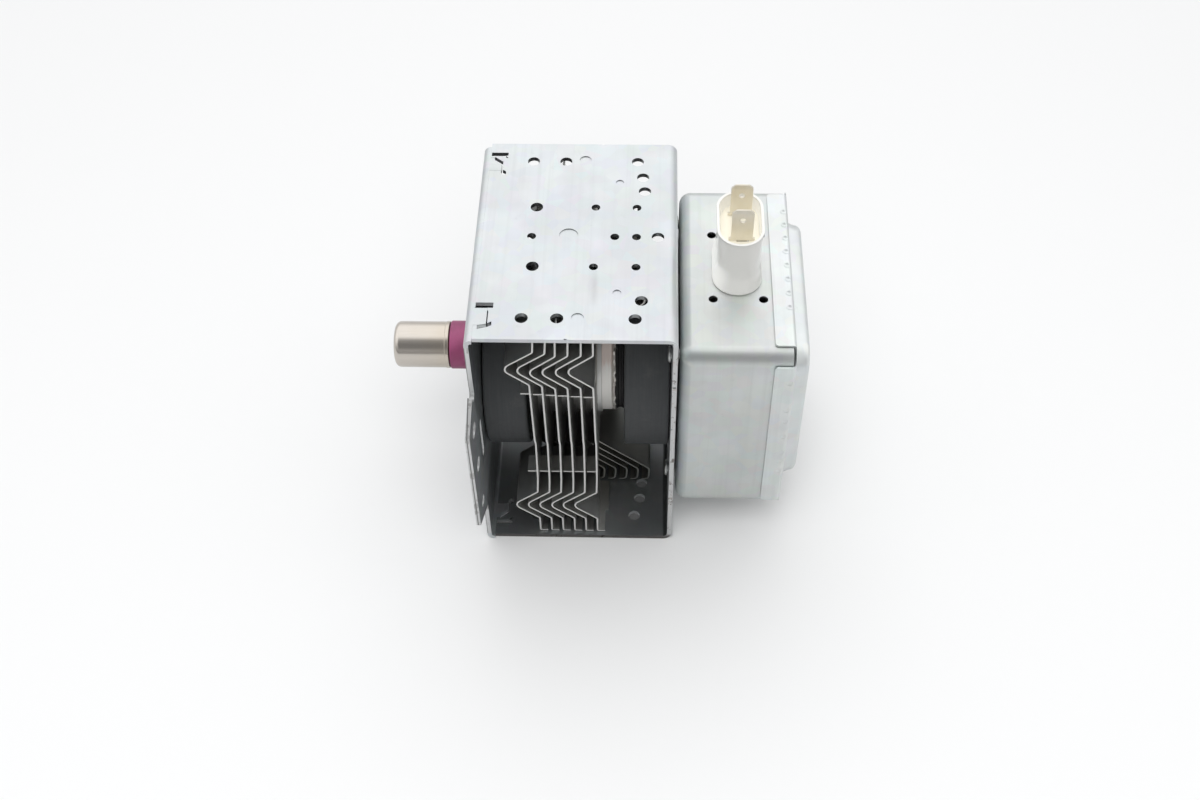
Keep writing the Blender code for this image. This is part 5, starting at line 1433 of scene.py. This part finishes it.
class MAGNETRON_OT_stage(bpy.types.Operator):
    """Set the table, the lamps, the surroundings and the camera"""

    bl_idname = "magnetron.stage"
    bl_label = "Stage"

    def execute(self, context):
        scene = context.scene
        stage = scene.magnetron_stage
        self.table(stage)
        self.surroundings(scene, stage)
        self.lamp("front", Vector((0.0, -0.5, 0.9)), stage.front)
        self.lamp("back", Vector((0.0, 0.5, 0.9)), stage.back)
        camera = bpy.data.cameras.new("camera")
        camera.lens = stage.lens
        camera.sensor_width = 36.0
        camera.clip_start = 0.01
        scene.camera = linked("camera", camera)
        scene.camera.matrix_world = camera_matrix(stage.camera_place, *stage.camera_angles)
        scene.view_settings.view_transform = "Standard"
        return {"FINISHED"}

    def table(self, stage):
        """A pale table that keeps the part's shadows and throws little light back up, with a
        painted shadow where the yoke stands on it."""
        mesh = block((-TABLE_REACH, -TABLE_REACH, -0.02), (TABLE_REACH, TABLE_REACH, 0.0))
        finish = Finish("table", stage.floor, Specular_IOR_Level=0.1)
        seen, shiny = finish.ray("Camera"), finish.ray("Glossy")
        x, y, _ = finish.place()
        # Painted shadow: the table is dark under the yoke's footprint.
        painted_shadow = x.band(-UNDER_X, UNDER_X, 0.001) * y.band(-UNDER_Y, UNDER_Y, 0.001)
        lit = finish.mix(painted_shadow, stage.floor, (0.17, 0.17, 0.17))
        finish.set("Base Color", finish.mix(seen, finish.between(shiny, 0.5, 0.76), lit))
        finish.set("Roughness", 0.7 + 0.1 * finish.noise(30.0))
        mesh.materials.append(finish.material)
        table = linked("table", mesh)

    def surroundings(self, scene, stage):
        """White where seen, and otherwise a bright room with the viewer's dark shape in it."""
        scene.world = bpy.data.worlds.new("studio")
        scene.world.use_nodes = True
        graph = Graph(scene.world.node_tree)
        place = graph.node("TexCoord")
        _, y, z = place.split()
        facing = {"operation": "DOT_PRODUCT"}
        toward = graph.node("VectorMath", facing, {0: place, 1: VIEWER}, "Value")
        aside = 0.45 + 0.55 * y.ramp(-0.8, 0.1)
        light = (0.2 + 0.8 * z.ramp(-0.1, 0.9)) * aside * stage.sky
        shine = (0.5 + 0.5 * z.ramp(-0.1, 0.6)) * aside * (1.0 - 0.6 * toward.ramp(0.8, 0.95))
        lights = ((0.98, 0.99, 1.0), light), (WHITE, shine * stage.gloss), (WHITE, 1.0)
        lit, shiny, seen = [
            graph.node("Background", None, {"Color": tone, "Strength": strength})
            for tone, strength in lights
        ]
        glossy, through, camera = map(graph.ray, ("Glossy", "Transmission", "Camera"))
        mirrored = glossy.math("MAXIMUM", glossy, through)
        unseen = graph.node("MixShader", None, {0: mirrored, 1: lit, 2: shiny})
        surface = graph.node("MixShader", None, {0: camera, 1: unseen, 2: seen})
        graph.feed(graph.tree.nodes["World Output"].inputs["Surface"], surface)

    def lamp(self, name, place, power):
        light = bpy.data.lights.new(name, "AREA")
        light.shape = "DISK"
        light.size = LAMP_SIZE
        light.energy = power
        obj = linked(name, light)
        obj.rotation_euler = (AIM - place).to_track_quat("-Z", "Y").to_euler()
        obj.location = place
        obj.visible_glossy = False


OPERATORS = (
    MAGNETRON_OT_stage,
    MAGNETRON_OT_yoke_frame,
    MAGNETRON_OT_end_plate,
    MAGNETRON_OT_magnets,
    MAGNETRON_OT_tube,
    MAGNETRON_OT_antenna,
    MAGNETRON_OT_fins,
    MAGNETRON_OT_filter_case,
    MAGNETRON_OT_filter_lid,
    MAGNETRON_OT_supply,
    MAGNETRON_OT_chokes,
)
SETTINGS = {
    "magnetron_yoke": MagnetronYokeSettings,
    "magnetron_tube": MagnetronTubeSettings,
    "magnetron_fins": MagnetronFinSettings,
    "magnetron_filter": MagnetronFilterSettings,
    "magnetron_finish": MagnetronFinishSettings,
    "magnetron_stage": MagnetronStageSettings,
}


class MAGNETRON_PT_panel(bpy.types.Panel):
    """Lists the magnetron's pieces and their sizes and colours"""

    bl_idname = "MAGNETRON_PT_panel"
    bl_label = "Magnetron"
    bl_space_type = "VIEW_3D"
    bl_region_type = "UI"
    bl_category = "Magnetron"

    def draw(self, context):
        for operator in OPERATORS:
            self.layout.operator(operator.bl_idname)
        for key, group in SETTINGS.items():
            column = self.layout.column(heading=group.__name__)
            for name in group.__annotations__:
                column.prop(getattr(context.scene, key), name)


def register():
    for group in SETTINGS.values():
        bpy.utils.register_class(group)
    for key, group in SETTINGS.items():
        setattr(bpy.types.Scene, key, PointerProperty(type=group))
    for entry in (*OPERATORS, MAGNETRON_PT_panel):
        bpy.utils.register_class(entry)


def unregister():
    for entry in (MAGNETRON_PT_panel, *reversed(OPERATORS)):
        bpy.utils.unregister_class(entry)
    for key, group in SETTINGS.items():
        delattr(bpy.types.Scene, key)
        bpy.utils.unregister_class(group)


def main():
    register()
    for operator in OPERATORS:
        group, name = operator.bl_idname.split(".")
        getattr(getattr(bpy.ops, group), name)()
    bpy.context.view_layer.update()


if __name__ == "__main__":
    main()
